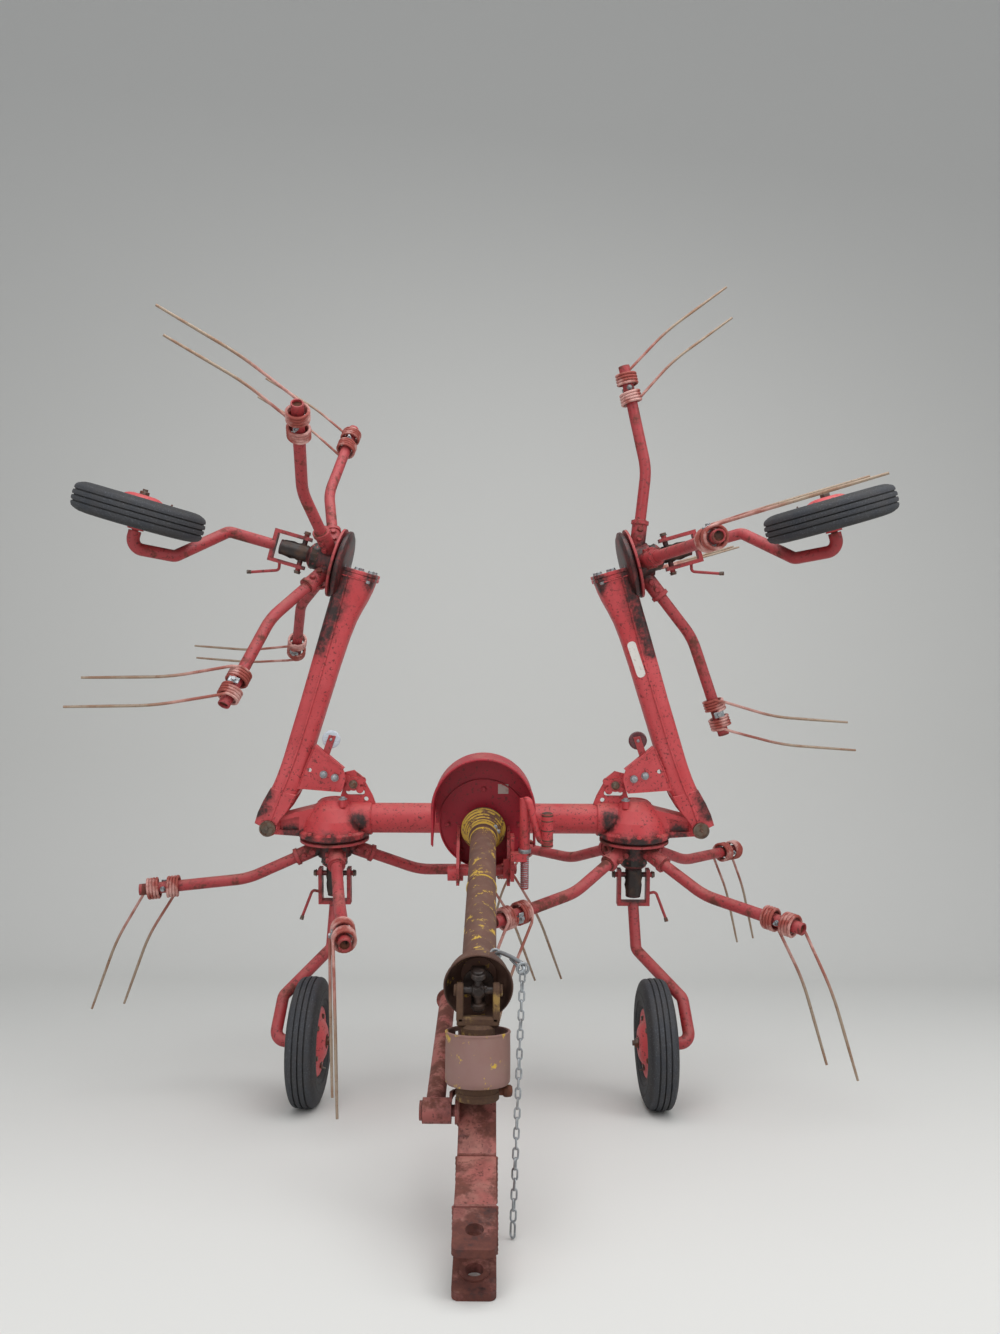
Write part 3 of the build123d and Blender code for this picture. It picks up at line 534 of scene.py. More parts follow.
def greased_iron(name):
    """Forged iron under old grease: near black, lumpy, half glossy."""
    material, tree, place = new_finish(name)
    lumps = patches(tree, place, 12, 0.3, 0.7, 1.0, 6.0, 0.6)
    dry = patches(tree, place, 40, 0.5, 0.66, 5.0)
    colour = layered(tree, "#1F1614", [
        (lumps, "#33261F", 0.5),
        (dry, "#5A4336", 0.75)])
    surface(tree, colour, layered(tree, 0.36, [(lumps, 0.5), (dry, 0.8)]), (lumps, 1.2, 0.6))
    return material


def spring_wire(name, old, worn):
    """Oil-tempered spring wire: rusty coils with remains of the coat, tines rubbed pale by hay; shade says where."""
    material, tree, place = new_finish(name)
    shade = add(tree, "Attribute", {"attribute_name": "shade"}).outputs["Fac"]
    mottle = patches(tree, place, 16, 0.32, 0.68, 1.0, 6.0, 0.6)
    pink = combined(tree, "MULTIPLY", patches(tree, place, 70, 0.46, 0.58, 4.0),
                    add(tree, "Math", {"operation": "SUBTRACT", 0: 1.0}, {1: shade}).outputs[0])
    pits = patches(tree, place, 5, 0.58, 0.68, 8.0)
    band = combined(tree, "MULTIPLY", patches(tree, place, 55, 0.48, 0.62, 6.0), shade, 0.5)
    colour = layered(tree, "#8E4034", [
        (mottle, old, 0.6),
        (pink, "#D2A49C", 0.9),
        (shade, worn),
        (band, "#8B5A3C"),
        (pits, "#4A2A1E", 0.6)])
    rough = layered(tree, 0.72, [(shade, 0.46), (band, 0.7)])
    metal = combined(tree, "MULTIPLY", shade, 0.45)
    height = combined(tree, "ADD", combined(tree, "MULTIPLY", mottle, 0.5), combined(tree, "MULTIPLY", pits, 0.3))
    surface(tree, colour, rough, (height, 0.35, 0.5), Metallic=metal)
    return material


def tyre_rubber(name, dark, light):
    """Carbon-black rubber, moulded: dull blue-grey, dusty on the ribs that shade marks."""
    material, tree, place = new_finish(name)
    shade = add(tree, "Attribute", {"attribute_name": "shade"}).outputs["Fac"]
    dust = patches(tree, place, 55, 0.35, 0.72, 2.0, 6.0, 0.62)
    speck = patches(tree, place, 4, 0.55, 0.75, 6.0)
    colour = layered(tree, dark, [
        (shade, light, 0.55),
        (dust, "#6A6258", 0.22),
        (speck, "#8A8F97", 0.35)])
    rough = layered(tree, 0.68, [(dust, 0.88)])
    height = combined(tree, "ADD", combined(tree, "MULTIPLY", speck, 0.5), combined(tree, "MULTIPLY", dust, 0.3))
    surface(tree, colour, rough, (height, 0.3, 0.4), IOR=1.52)
    return material


def moulded_guard(name, colour, yellow, keep_yellow=0.4, seed=0.0):
    """Polyethylene guard, moulded yellow: sunned to a brown skin that flakes back to yellow."""
    material, tree, place = new_finish(name)
    skin = patches(tree, place, 34, 0.36 + 0.3 * keep_yellow, 0.4 + 0.3 * keep_yellow, seed, 9.0, 0.72)
    tone = patches(tree, place, 90, 0.35, 0.7, seed + 4)
    dust = patches(tree, place, 28, 0.5, 0.8, seed + 8)
    colour_out = layered(tree, yellow, [
        (tone, "#A67C2C", 0.45),
        (skin, colour),
        (skin, "#7A5444", tone, 0.5),
        (dust, "#8D7768", 0.35)])
    rough = layered(tree, 0.55, [(skin, 0.8), (dust, 0.85)])
    height = combined(tree, "ADD", combined(tree, "MULTIPLY", skin, 0.6), combined(tree, "MULTIPLY", dust, 0.2))
    surface(tree, colour_out, rough, (height, 0.5, 0.5))
    return material


def moulded_lens(name, colour, strength):
    """Acrylic reflector with its prism pattern of about 3 mm cells behind a glossy face."""
    material, tree, place = new_finish(name)
    cell = add(tree, "TexVoronoi", {"feature": "DISTANCE_TO_EDGE", "Scale": 1000 / 3.5, "Randomness": 0.1},
               {"Vector": place})
    line = add(tree, "MapRange", {"From Min": 0.02, "From Max": 0.12}, {"Value": cell.outputs["Distance"]}).outputs[0]
    colour_out = layered(tree, tuple(value * strength for value in colour), [(line, colour)])
    surface(tree, colour_out, 0.16, (line, 0.4, 0.5), IOR=1.49, Coat_Weight=0.6, Coat_Roughness=0.1)
    return material


def vinyl(name, colour):
    """Printed vinyl sheet, unprinted here: smooth, slightly yellowed and scuffed."""
    material, tree, place = new_finish(name)
    scuff = patches(tree, place, 14, 0.56, 0.66, 3.0, 7.0, 0.65)
    colour_out = layered(tree, colour, [(scuff, "#9A7F74", 0.7)])
    surface(tree, colour_out, layered(tree, 0.4, [(scuff, 0.7)]), (scuff, 0.2, 0.3))
    return material


# --- pieces of the machine ---

# wound springs and the rotor arms that carry them, in mm
COIL_R, WIRE_R, COIL_WIDTH, COIL_GAP, COIL_END, ARM_TIP = 37.0, 4.75, 44.0, 24.0, 12.0, 645.0
ROOT_SLOPE, TIP_SLOPE = math.radians(22), math.radians(3)
ARM_BEND, ARM_BEND_Z = 298.0, -31.0 - 248.0 * math.tan(ROOT_SLOPE)


def arm_z(radius):
    return ARM_BEND_Z - (radius - ARM_BEND) * math.tan(TIP_SLOPE)


def coil_points(inner, turns, steps=22):
    """Wire line of one coil and its tine, from the tine's tip to the clamp; inner says which of the two."""
    start = ARM_TIP - COIL_END - (2 * COIL_WIDTH + COIL_GAP if inner else COIL_WIDTH)
    root = start + WIRE_R if inner else start + COIL_WIDTH - WIRE_R
    way = 1 if inner else -1
    radius = COIL_R - WIRE_R
    pitch = 2 * WIRE_R + 0.35
    lean = 9.0 if inner else 0.0
    top = Vector((root, radius, arm_z(root)))
    knee = Vector((root + 180 * math.tan(math.radians(31)), radius + lean, top.z - 180))
    tip = Vector((knee.x + 235 * math.tan(math.radians(20)), radius + lean, knee.z - 235))
    leave = top.lerp(knee, 0.14) + Vector((-5 if inner else 2, lean * 0.55, 0))
    line = [tip, tip.lerp(knee, 0.5)] + curve_points([tip.lerp(knee, 0.5), knee, leave], 70, 8)[1:]
    tine = len(line)
    for step in range(int(turns * steps) + 1):
        angle = 2 * math.pi * step / steps
        along = root + way * pitch * step / steps
        line.append(Vector((along + radius * math.sin(angle) * math.sin(TIP_SLOPE), radius * math.cos(angle),
                            arm_z(along) + radius * math.sin(angle) * math.cos(TIP_SLOPE))))
    return line, tine


def spring_shape(turns):
    """Both coils of one arm, their bridge below the clamp, and the two tines."""
    first, first_tine = coil_points(True, turns)
    second, second_tine = coil_points(False, turns)
    middle = (first[-1] + second[-1]) / 2
    middle.y -= 6
    line = first + [middle] + list(reversed(second))
    shades = []
    total = len(line)
    for index in range(total):
        from_first = (first_tine - index) / max(first_tine, 1)
        from_last = (index - (total - 1 - second_tine)) / max(second_tine, 1)
        shades.append(min(1.0, max(0.0, max(from_first, from_last) * 1.6)))
    radii = [WIRE_R] * total
    radii[0] = radii[-1] = WIRE_R * 0.8
    return swept(line, radii, 10, shades=shades)


def clamp_shape():
    """Bolt, saddle and nut that hold the bridge of the coils on the arm."""
    along = ARM_TIP - COIL_END - COIL_WIDTH - COIL_GAP / 2
    z = arm_z(along)
    saddle = moved(rounded_box((20, 34, 5), 1.5), at(along, 27 + 6.5, z) @ UPRIGHT)
    head = bolt(13, 8, (along, 36, z), INWARD)
    stem = swept([(along, 36, z), (along, -24, z)], 4.2, 12)
    nut = bolt(13, 10, (along, -19.5, z), FORWARD)
    end = swept([(along, -28, z), (along, -36, z)], 4.2, 12)
    return joined(saddle, head, stem, nut, end)


def rotor_bolt_shape():
    """Bolts that hold one arm's socket under the rotor plate, and the weld ring at the collar."""
    slope, parts = ROOT_SLOPE, []
    for along in (78, 108):
        z = -31 - (along - 50) * math.tan(slope)
        parts.append(bolt(17, 9, (along, -25, z), FORWARD))
        parts.append(bolt(17, 11, (along, 25, z), INWARD))
    weld = []
    for step in range(28):
        angle = 2 * math.pi * step / 28
        along = 136 + 0.9 * math.sin(step * 2.4)
        ring = 20.6 + 0.7 * math.sin(step * 3.9)
        weld.append(Vector((along + ring * math.sin(angle) * math.sin(slope), ring * math.cos(angle),
                            -31 - (along - 50) * math.tan(slope) + ring * math.sin(angle) * math.cos(slope))))
    parts.append(swept(weld, 2.6, 8, looped=True))
    return joined(*parts)


def tyre_shape():
    """Narrow tyre about Z: beads, ringed walls, worn shoulders and three grooves between four ribs."""
    half, radius, rim = 45.0, 194.0, 104.0
    wall = [(rim, 31, 0.1), (rim + 6, 37, 0.1), (rim + 13, 40, 0.2), (rim + 17, 41, 0), (rim + 19, 39.6, 0),
            (rim + 22, 42, 0.1), (128, 44.2, 0.1), (146, half, 0.2), (149, half, 0.2), (150, 43.8, 0), (153, 43.8, 0),
            (154, 44.9, 0.2), (166, 43.4, 0.2), (176, 40, 0.3), (178, 38.4, 0), (182, 37.2, 0.2), (187, 33.5, 0.7)]
    tread = []
    rib_edges = [(-31, -19.5), (-14.5, -2.2), (2.2, 14.5), (19.5, 31)]
    for low, high in rib_edges:
        for z in (low, (low + high) / 2, high):
            crown = radius - 0.0042 * z * z
            edge = 1.0 if z != (low + high) / 2 else 0.0
            tread.append((crown - edge, z, 0.9))
        if high != 31:
            tread += [(radius - 6.5, high + 1.0, 0.0), (radius - 6.8, high + 2.4, 0.0), (radius - 6.5, high + 3.8, 0.0)]
    profile = [(r, -z, s) for r, z, s in wall] + tread + [(r, z, s) for r, z, s in reversed(wall)]
    profile += [(rim, 25, 0), (rim, -25, 0)]
    return spun([(r, z) for r, z, _ in profile], 96, closed=True, shades=[s for _, _, s in profile])


def rim_shape():
    """Rim of two pressed halves about Z, its hub's long end up and its dome down, with bolts and the valve."""
    outer = [(11, -43), (21, -43), (22, -54), (31, -54.5), (44, -52), (55, -46.5), (62, -39), (67, -34.4), (84, -31.5),
             (89, -31.5), (95, -34), (100, -34), (103.6, -30.5), (103.6, 30.5), (100, 34), (95, 34), (89, 31.5),
             (84, 31.5), (66, 35.6), (57, 37), (30, 36), (24, 36.5), (24, 53), (11, 53)]
    shape = spun(outer, 72, closed=True)
    bolts = [bolt(13, 7, (74 * math.cos(a), 74 * math.sin(a), -32.2), (0, 0, -1))
             for a in (2 * math.pi * step / 5 for step in range(5))]
    valve = swept([(84, 0, -28), (88, 0, -44), (89, 0, -50)], [3.4, 3.2, 2.4], 10)
    return shape, joined(*bolts, valve)


def tube_end_shape():
    """Open end of a rotor arm's tube, and a disc just inside it coloured near black as painted shade for the hollow, as
    two shapes.
    """
    place = aim((ARM_TIP, 0, arm_z(ARM_TIP)), (math.cos(TIP_SLOPE), 0, -math.sin(TIP_SLOPE)))
    wall = spun([(14.5, -1), (19, -1), (19.2, 8), (18.6, 9), (15.2, 9), (14.5, 8)], 36, closed=True)
    return moved(wall, place), moved(spun([(0, 0.6), (14.8, 0.6)], 36), place)


def link_shape(length, width, wire, matrix):
    """One chain link, a rounded oval of wire."""
    half, radius = (length - width) / 2, (width - wire) / 2
    line = [Vector((x, 0, end + z)) for end, start in ((half, 0), (-half, 180))
            for x, z in arc(radius, start, start + 180, 9)]
    return moved(swept(line, wire / 2, 8, looped=True), matrix)


SHAFT_START, SHAFT_RUN = (0, -250, 92), Vector((0, -1004, -108))
SHAFT_LENGTH = SHAFT_RUN.length
CROSS = (0, -1254, -16)
DOWN = Vector((0, -math.sin(PITCH), -math.cos(PITCH)))


def shaft_matrix(along=0.0):
    """Local Z along the drive shaft, X across the machine, from the rear joint."""
    z = SHAFT_RUN.normalized()
    x = Vector((1, 0, 0))
    y = z.cross(x)
    turn = Matrix((x, y, z)).transposed().to_4x4()
    return at(*SHAFT_START) @ turn @ at(0, 0, along)


def yoke_matrix():
    """Local Z hangs straight down from the front cross, X across the machine."""
    x = Vector((1, 0, 0))
    turn = Matrix((x, DOWN.cross(x), DOWN)).transposed().to_4x4()
    return at(*CROSS) @ turn


def holed_wall(profile, thickness, sides, holes):
    """Turned wall with square openings: (ring, first side, count) faces left out, then thickened."""
    points, faces, _ = spun(profile, sides)
    left = set()
    for ring, first, count in holes:
        left |= {ring * sides + (first + step) % sides for step in range(count)}
    faces = [face for index, face in enumerate(faces) if index not in left]
    mesh = bpy.data.meshes.new("wall")
    mesh.from_pydata([tuple(point) for point in points], [], faces)
    work = bmesh.new()
    work.from_mesh(mesh)
    bmesh.ops.remove_doubles(work, verts=work.verts[:], dist=1e-6)
    bmesh.ops.recalc_face_normals(work, faces=work.faces[:])
    bmesh.ops.solidify(work, geom=work.faces[:], thickness=thickness / 1000)
    result = ([vert.co.copy() for vert in work.verts],
              [tuple(vert.index for vert in face.verts) for face in work.faces], [0.0] * len(work.verts))
    work.free()
    bpy.data.meshes.remove(mesh)
    return result


def ear_shape(width, length, thickness, bore_side):
    """Forged yoke ear, a flat tongue with a round end, standing along Z from 0, its flat face on X."""
    outline = [(-width / 2, 0), (width / 2, 0)]
    outline += [(x, length + y) for x, y in arc(width / 2, 0, 180, 11)]
    shape = moved(slab(outline, thickness, 2.2), ACROSS)
    cap = [(0, 0), (width * 0.36, 0), (width * 0.38, 1.5), (width * 0.38, 4.5), (width * 0.33, 6), (0, 6.4)]
    cap = moved(spun(cap, 24), aim((thickness if bore_side > 0 else 0, 0, length), (bore_side, 0, 0)))
    return joined(shape, cap)


# grease nipple about Z
NIPPLE = ((0, 0), (4, 0), (4, 4), (2.6, 5), (2.6, 9), (3.4, 10), (3.4, 13), (1.4, 15), (0, 15))


def joint_shape():
    """Rear yoke and cross of the front joint, in the shaft's frame from the cross."""
    stem = spun([(0, -66), (22, -66), (22, -50), (30, -44), (34, -36), (34, -30), (0, -30)], 32)
    ears = []
    for side in (-1, 1):
        ear = moved(ear_shape(32, 34, 13, side), at(28 if side > 0 else -41, 0, -34))
        ears.append(moved(ear, Matrix.Rotation(math.pi / 2, 4, "Z")))
    cross = [rounded_box((26, 26, 26), 5)]
    for end, turn in ((38, UPRIGHT), (42, Matrix.Rotation(math.pi / 2, 4, "Y"))):
        pin = [(0, -end), (8.5, -end), (9, -14), (13, -12), (13, 12), (9, 14), (8.5, end), (0, end)]
        cross.append(moved(spun(pin, 24), turn))
    nipple = moved(spun(NIPPLE, 12), aim((9, 9, 9), (1, 1, 1)))
    return joined(stem, *ears, *cross, nipple)


def hanging_yoke_shape():
    """Front yoke below the cross: ears, socket, splined end and lock knob, its axis along Z."""
    ears = [moved(ear_shape(34, 62, 15, side), at(32 if side > 0 else -47, 0, 62) @ Matrix.Rotation(math.pi, 4, "X"))
            for side in (-1, 1)]
    bridge = moved(rounded_box((92, 34, 22), 5), at(0, 0, 64))
    teeth = []
    for step in range(6):
        teeth.append(moved(rounded_box((3.2, 8.5, 78), 0.6), turn_z(60 * step) @ at(15.9 + 1.7, 0, 182.5)))
    socket = spun([(0, 70), (30, 70), (36, 76), (36, 168), (45.5, 171), (46, 174), (46, 219), (43, 222), (20, 222),
                   (17.5, 219.5), (17.5, 142), (0, 142)], 56)
    groove = spun([(46, 204), (47.5, 205), (47.5, 209), (46, 210)], 56)
    knob = moved(spun([(0, -4), (9, -4), (9, 8), (11.5, 10), (12.6, 14), (12, 24), (9, 28), (0, 29)], 28),
                 aim((46, 0, 204), (1, 0, 0)))
    return joined(*ears, bridge, socket, groove), knob, joined(*teeth)


def snap_hook_shape():
    """Snap hook from the bell's collar to the ring at the chain's top."""
    body = [(30, -1168, 24), (46, -1186, 44), (72, -1232, 50), (96, -1270, 50), (99, -1282, 40), (90, -1280, 34)]
    body = curve_points(body, 14, 5)
    body = swept(body, 4.6, 12)
    gate = swept([(70, -1228, 44), (88, -1264, 38)], 3.0, 10)
    eye = []
    for step in range(20):
        angle = 2 * math.pi * step / 20
        eye.append(Vector((37 + 11 * math.cos(angle), -1178 + 6 * math.sin(angle), 35 + 9 * math.sin(angle))))
    return joined(body, gate, swept(eye, 3.6, 10, looped=True))


def chain_shape():
    """Ring, crossed links down to the ground, and the long end link."""
    top = Vector((96, -1275, 50))
    end = Vector((74, top.y - 520 * math.sin(PITCH), top.z - 520 * math.cos(PITCH)))
    run = (end - top)
    pitch, wire = 19.0, 4.2
    parts = []
    ring = [Vector((top.x + x, top.y - 2, top.z - 8 + z)) for z, x in arc(12, 0, 360, 25)[:-1]]
    parts.append(swept(ring, 3.0, 10, looped=True))
    first = top + run.normalized() * 16
    direction = end - first
    count = int(direction.length // pitch)
    step_length = direction.length / count
    for index in range(count - 1):
        spot = first + direction.normalized() * step_length * (index + 0.5)
        matrix = aim(spot, direction) @ turn_z(90 * (index % 2) + 14 * math.sin(index * 1.7))
        matrix = matrix @ Matrix.Rotation(0.05 * math.sin(index * 2.3), 4, "X")
        parts.append(link_shape(step_length + wire * 1.6, 15, wire, matrix))
    spot = end - direction.normalized() * 2
    parts.append(link_shape(34, 17, 4.6, aim(spot, direction) @ turn_z(40)))
    return joined(*parts)


def weld_line(points, width=3.0, step=3.2, looped=False):
    """Ripple weld bead along a polyline in mm."""
    spots = [Vector(point) for point in points]
    if looped:
        spots.append(spots[0])
    line = []
    for start, end in zip(spots, spots[1:]):
        count = max(1, int((end - start).length / step))
        line += [start.lerp(end, index / count) for index in range(count)]
    line.append(spots[-1])
    if looped:
        line.pop()
    radii = [width * (1.0 + 0.16 * math.sin(index * 2.1) + 0.08 * math.sin(index * 0.7)) for index in range(len(line))]
    return swept(line, radii, 8, looped=looped)


def circle(centre, axis, radius, count):
    """Points in mm round an axis."""
    matrix = aim(centre, axis)
    return [matrix @ Vector((x / 1000, y / 1000, 0)) * 1000 for x, y in arc(radius, 0, 360, count + 1)[:-1]]


def inner_housing_details():
    """Flange bolts, weld beads and casting seam of the right-hand inner housing."""
    parts = []
    for step in range(10):
        angle = math.radians(18 + 36 * step)
        x, y = INNER_X + 117 * math.cos(angle), 117 * math.sin(angle)
        if 0.9 > math.cos(angle) > -0.97:
            parts.append(moved(hex_head(13, 7), at(x, y, 29.5)))
    parts.append(weld_line(circle((INNER_X - 130.5, 0, 70), (1, 0, 0), 54, 48), 3.4, 3.5, True))
    for y in (-42.5, 42.5):
        parts.append(weld_line(circle((PIVOT_X, y, PIVOT_Z), INWARD, 26, 36), 3.0, 4.0, True))
    ridge = [(INNER_X - 92, 0, 79), (INNER_X - 74, 0, 112.5), (INNER_X - 42, 0, 138.5), (INNER_X, 0, 145.8),
             (INNER_X + 42, 0, 138.5), (INNER_X + 58, 0, 125)]
    parts.append(swept(curve_points(ridge, 20, 4), 2.2, 8))
    return joined(*parts)


def filler_plug_shape():
    collar = spun([(0, 0), (15, 0), (15, 2.5), (12.5, 4), (9, 4), (9, 3), (0, 3)], 32)
    plug = moved(spun([(0, 0), (8.5, 0), (8.5, 5), (7.5, 6.5), (0, 6.5)], 24), at(0, 0, 3))
    return moved(joined(collar, plug), at(INNER_X - 38, -52, 145))


# along the right-hand outer arm from its pivot, in working position: place, low edge, high edge, half width, seam
ARM_SECTIONS = (
    (128, -31, 60, 61.5, 11), (150, -27, 66, 61, 14), (178, -24, 69, 57, 17), (215, -22, 70, 51, 19),
    (250, -21, 71, 47.5, 21), (320, -20, 72, 46, 25), (460, -17, 76, 46, 29), (600, -16, 80, 46, 31),
    (700, -15, 85, 46.5, 31), (760, -14, 91, 48, 31), (805, -13, 100, 51, 31), (845, -13, 110, 55, 31),
    (880, -13, 116, 59, 31), (912, -13, 119, 61, 31))


def arm_section(place, low, high, half, seam):
    """Section of the two pressed shells and of the seam flanges that join them."""
    front = [(half - 27, high), (half - 15, high - 3), (half - 6, high - 11), (half - 1.5, high - 24), (half, seam + 6),
             (half, seam + 3.4), (half + 5, seam + 3), (half + 5, seam - 3), (half, seam - 3.4), (half, seam - 6),
             (half - 1.5, low + 17), (half - 6, low + 8), (half - 15, low + 2), (half - 27, low)]
    return [(place, -y, z) for y, z in front] + [(place, y, z) for y, z in reversed(front)]


def outer_arm_shape():
    """Forked arm of two pressed shells that flares to its end flange, with the lug for the fold lock."""
    cheek = [(2, -50), (42, -49), (84, -42), (136, -29), (136, 62), (112, 58), (70, 46), (36, 31)]
    cheek += arc(31, 56, 266, 15)
    parts = [lofted([arm_section(*section) for section in ARM_SECTIONS])]
    for side in (-1, 1):
        parts.append(moved(slab(cheek, 14, 2.4), at(0, -48 if side < 0 else 62, 0) @ UPRIGHT))
        ridge = [(20, side * 62, 1), (94, side * 62, 7), (130, side * 61.5, 11), (150, side * 61, 14)]
        parts.append(swept(ridge, 4.0, 8))
    flange = [(58, -12), (64, -6), (64, 110), (52, 123), (-52, 123), (-64, 110), (-64, -6), (-58, -12)]
    parts += [moved(slab(flange, 12.6, 1.6), at(x, 0, 0) @ ACROSS) for x in (911, 924.5)]
    plate = [(160, 58), (190, 204), (200, 209), (232, 209), (246, 205), (268, 190), (318, 76)]
    parts.append(moved(punched(plate, 9, [(231, 81, 8)]), at(0, -41, 0) @ UPRIGHT))
    for strip in ([(158, 58), (188, 205), (194, 205), (164, 58)], [(314, 78), (264, 190), (270, 193), (320, 80)]):
        parts.append(moved(slab(strip, 22, 1.2), at(0, -30, 0) @ UPRIGHT))
    return moved(joined(*parts), Matrix.Translation(PIVOT))


def outer_head_shape():
    """Low round gear housing under the arm's end, over the outer rotor."""
    case = [(0, 8), (28, 8), (28, 6), (108, 6), (109, 11), (116, 12), (117, 14), (117, 21), (115, 23), (110, 24),
            (104, 29), (92, 32), (60, 33.5), (0, 34)]
    return moved(spun(case, 72), at(OUTER_X, 0, OUTER_RISE))


def outer_head_details():
    """Bolts through the end flange of the right-hand outer arm, in working position."""
    x, z = PIVOT_X + 937.5, PIVOT_Z
    parts = [bolt(17, 9, (x, y, z + height), (1, 0, 0)) for y in (-48, 48) for height in (4, 54, 102)]
    return joined(*parts, bolt(13, 8, (x - 27, -57, z + 101), (-1, 0, 0)))


def arm_details():
    """Weld beads of the right-hand outer arm, in working position."""
    beads = [[(164, -50.5, 60), (240, -50.5, 66), (312, -50.5, 76)]]
    beads += [[(909, side * 61, -8), (909, side * 61, 96)] for side in (-1, 1)]
    return moved(joined(*[weld_line(bead, 2.6, 3.4) for bead in beads]), Matrix.Translation(PIVOT))


def fold_lock_bolts():
    """Galvanised bolts in the lug of the right-hand outer arm, in working position."""
    parts = []
    for z in (133, 173):
        parts.append(moved(spun([(0, 9), (5, 8.6), (9.6, 6), (11, 3), (11, 0), (13.2, 0), (13.4, -1.6), (0, -1.6)], 32),
                           aim((PIVOT_X + 231, -57, PIVOT_Z + z), FORWARD)))
    return joined(*parts)


# pivot of the right-hand latch in mm
LATCH_X, LATCH_Z = 455, 193


def latch_bolt_shape():
    """Pivot bolt, washer and spring of the right-hand latch."""
    head = bolt(19, 8, (LATCH_X, -29.5, LATCH_Z), FORWARD)
    washer = moved(spun([(0, 0), (15, 0), (15, 2.4), (0, 2.4)], 30), aim((LATCH_X, -25, LATCH_Z), FORWARD))
    spring = []
    for step, (x, z) in enumerate(arc(11.5, 0, 5 * 360, 5 * 16 + 1)):
        spring.append(Vector((LATCH_X + x, -1.5 + 22 * step / 80, LATCH_Z + z)))
    stem = moved(spun([(0, 0), (6, 0), (6, 28), (0, 28)], 16), aim((LATCH_X, -2, LATCH_Z), INWARD))
    nut = bolt(17, 9, (LATCH_X, 22, LATCH_Z), INWARD)
    return joined(head, washer, swept(spring, 1.7, 8), stem, nut)


def pivot_details():
    """Cap, grease nipple and ring of the right-hand fold pin."""
    head = moved(spun([(0, 0), (19, 0), (21, -1.5), (21, -3), (0, -3)], 36), aim((PIVOT_X, -75.5, PIVOT_Z), FORWARD))
    nipple = moved(spun(NIPPLE, 14), aim((PIVOT_X, -76.5, PIVOT_Z), FORWARD))
    ring = spun([(23, 0), (27.5, 0), (28, 1.5), (27.5, 3), (23, 3)], 36, closed=True)
    return joined(head, nipple, moved(ring, aim((PIVOT_X, -76, PIVOT_Z), FORWARD)))


def reflector_shape():
    """Lens, rim, carrying strip and rivet of the right-hand reflector, in working position."""
    lens = [(0, 3), (26, 3), (29, 2.2), (31.5, 0), (31.5, -4), (29, -6), (0, -6)]
    rivet = [(0, 3.4), (3.5, 2.8), (5.6, 0.6), (5.8, 0), (0, 0)]
    strip = slab([(216, 101), (366, 112), (368, 136), (216, 129)], 3.4, 0.8)
    shapes = (moved(spun(lens, 56), aim((352, -34, 123), FORWARD)),
              moved(strip, at(0, -38.5, 0) @ UPRIGHT @ at(0, 0, -0.5)),
              moved(spun(rivet, 24), aim((352, -42.4, 123), FORWARD)))
    return [moved(shape, Matrix.Translation(PIVOT)) for shape in shapes]


def leg_details(axis_x, base_z, side):
    """Fork pin heads, the weld where the leg joins its fork, axle nut and lever knob."""
    parts = []
    for way in (-1, 1):
        parts.append(bolt(19, 9, (axis_x + way * 65.5, 0, base_z - 128), (way, 0, 0)))
    parts.append(weld_line([(axis_x - 17, -17.5, base_z - 234), (axis_x + 17, -17.5, base_z - 234)], 3.0, 3.4))
    end = axis_x + side * (WHEEL_SIDE - 45 - 8)
    parts.append(bolt(26, 12, (end, -WHEEL_FORWARD, base_z - WHEEL_DROP), (-side, 0, 0)))
    parts.append(swept([(end - side * 10, -WHEEL_FORWARD, base_z - WHEEL_DROP),
                        (end - side * 19, -WHEEL_FORWARD, base_z - WHEEL_DROP)], 8, 16))
    lever = (axis_x + side * 112, -20, base_z - 276)
    parts.append(swept([lever, (lever[0] + side * 3, lever[1] - 6, lever[2] - 12)], [6.5, 7.0], 12))
    return joined(*parts)


def stub_grease_shape(axis_x, base_z):
    """Grease pushed out in rings round the stub between rotor and fork."""
    profile = [(24, -64.5), (44.6, -64.5), (46.2, -69), (45.2, -78), (46, -88), (41, -95), (30, -102), (27.5, -107),
               (29, -113), (28, -124), (30.5, -136), (28.4, -150), (30, -165), (28, -180), (27, -196), (24, -196)]
    shape = spun(profile, 40, closed=True)
    points = []
    for point in shape[0]:
        wave = 1 + 0.03 * math.sin(point.x * 310) + 0.03 * math.sin(point.z * 260 + point.y * 190)
        points.append(Vector((point.x * wave, point.y * wave, point.z)))
    return moved((points, shape[1], shape[2]), at(axis_x, 0, base_z))


def drawbar_details():
    """Weld beads of the drawbar, its clevis and the stand's bracket."""
    front, kink = -1562, -1402
    beads = [([(-40.5, front, -299.5), (40.5, front, -299.5)], 3.2), ([(-39, -1400, -299), (39, -1400, -299)], 3.2),
             ([(-39, -640, 4.6), (39, -640, 4.6)], 3.0)]
    for x in (-40.5, 40.5):
        beads += [([(x, front, -300), (x, front, -392)], 3.0), ([(x, kink, -302), (x, kink - 13, -392)], 2.8)]
    round_bead = weld_line(circle((-40.5, -1300, -262), (1, 0, 0), 28, 36), 3.0, 3.6, True)
    return joined(*[weld_line(line, width, 3.4) for line, width in beads], round_bead)


def guard_details():
    """Rolled front edge of the hood, bolts of the plate and the weld between the two."""
    middle, y = 172, -330
    edge = [Vector((x, y, z + middle)) for x, z in arc(161, 180, 0, 37)]
    path = [Vector((-161, y, 60)), Vector((-161, y, 120)), *edge, Vector((161, y, 120)), Vector((161, y, 60))]
    bolts = [bolt(13, 7, (x, -199.5, z), FORWARD) for x, z in ((-118, 96), (118, 96), (-70, 8), (0, 214))]
    seam = [Vector((x, -200, z + middle)) for x, z in arc(157.5, 180, 0, 37)]
    return joined(swept(path, 4.2, 10), *bolts, weld_line(seam, 2.4, 4.0))


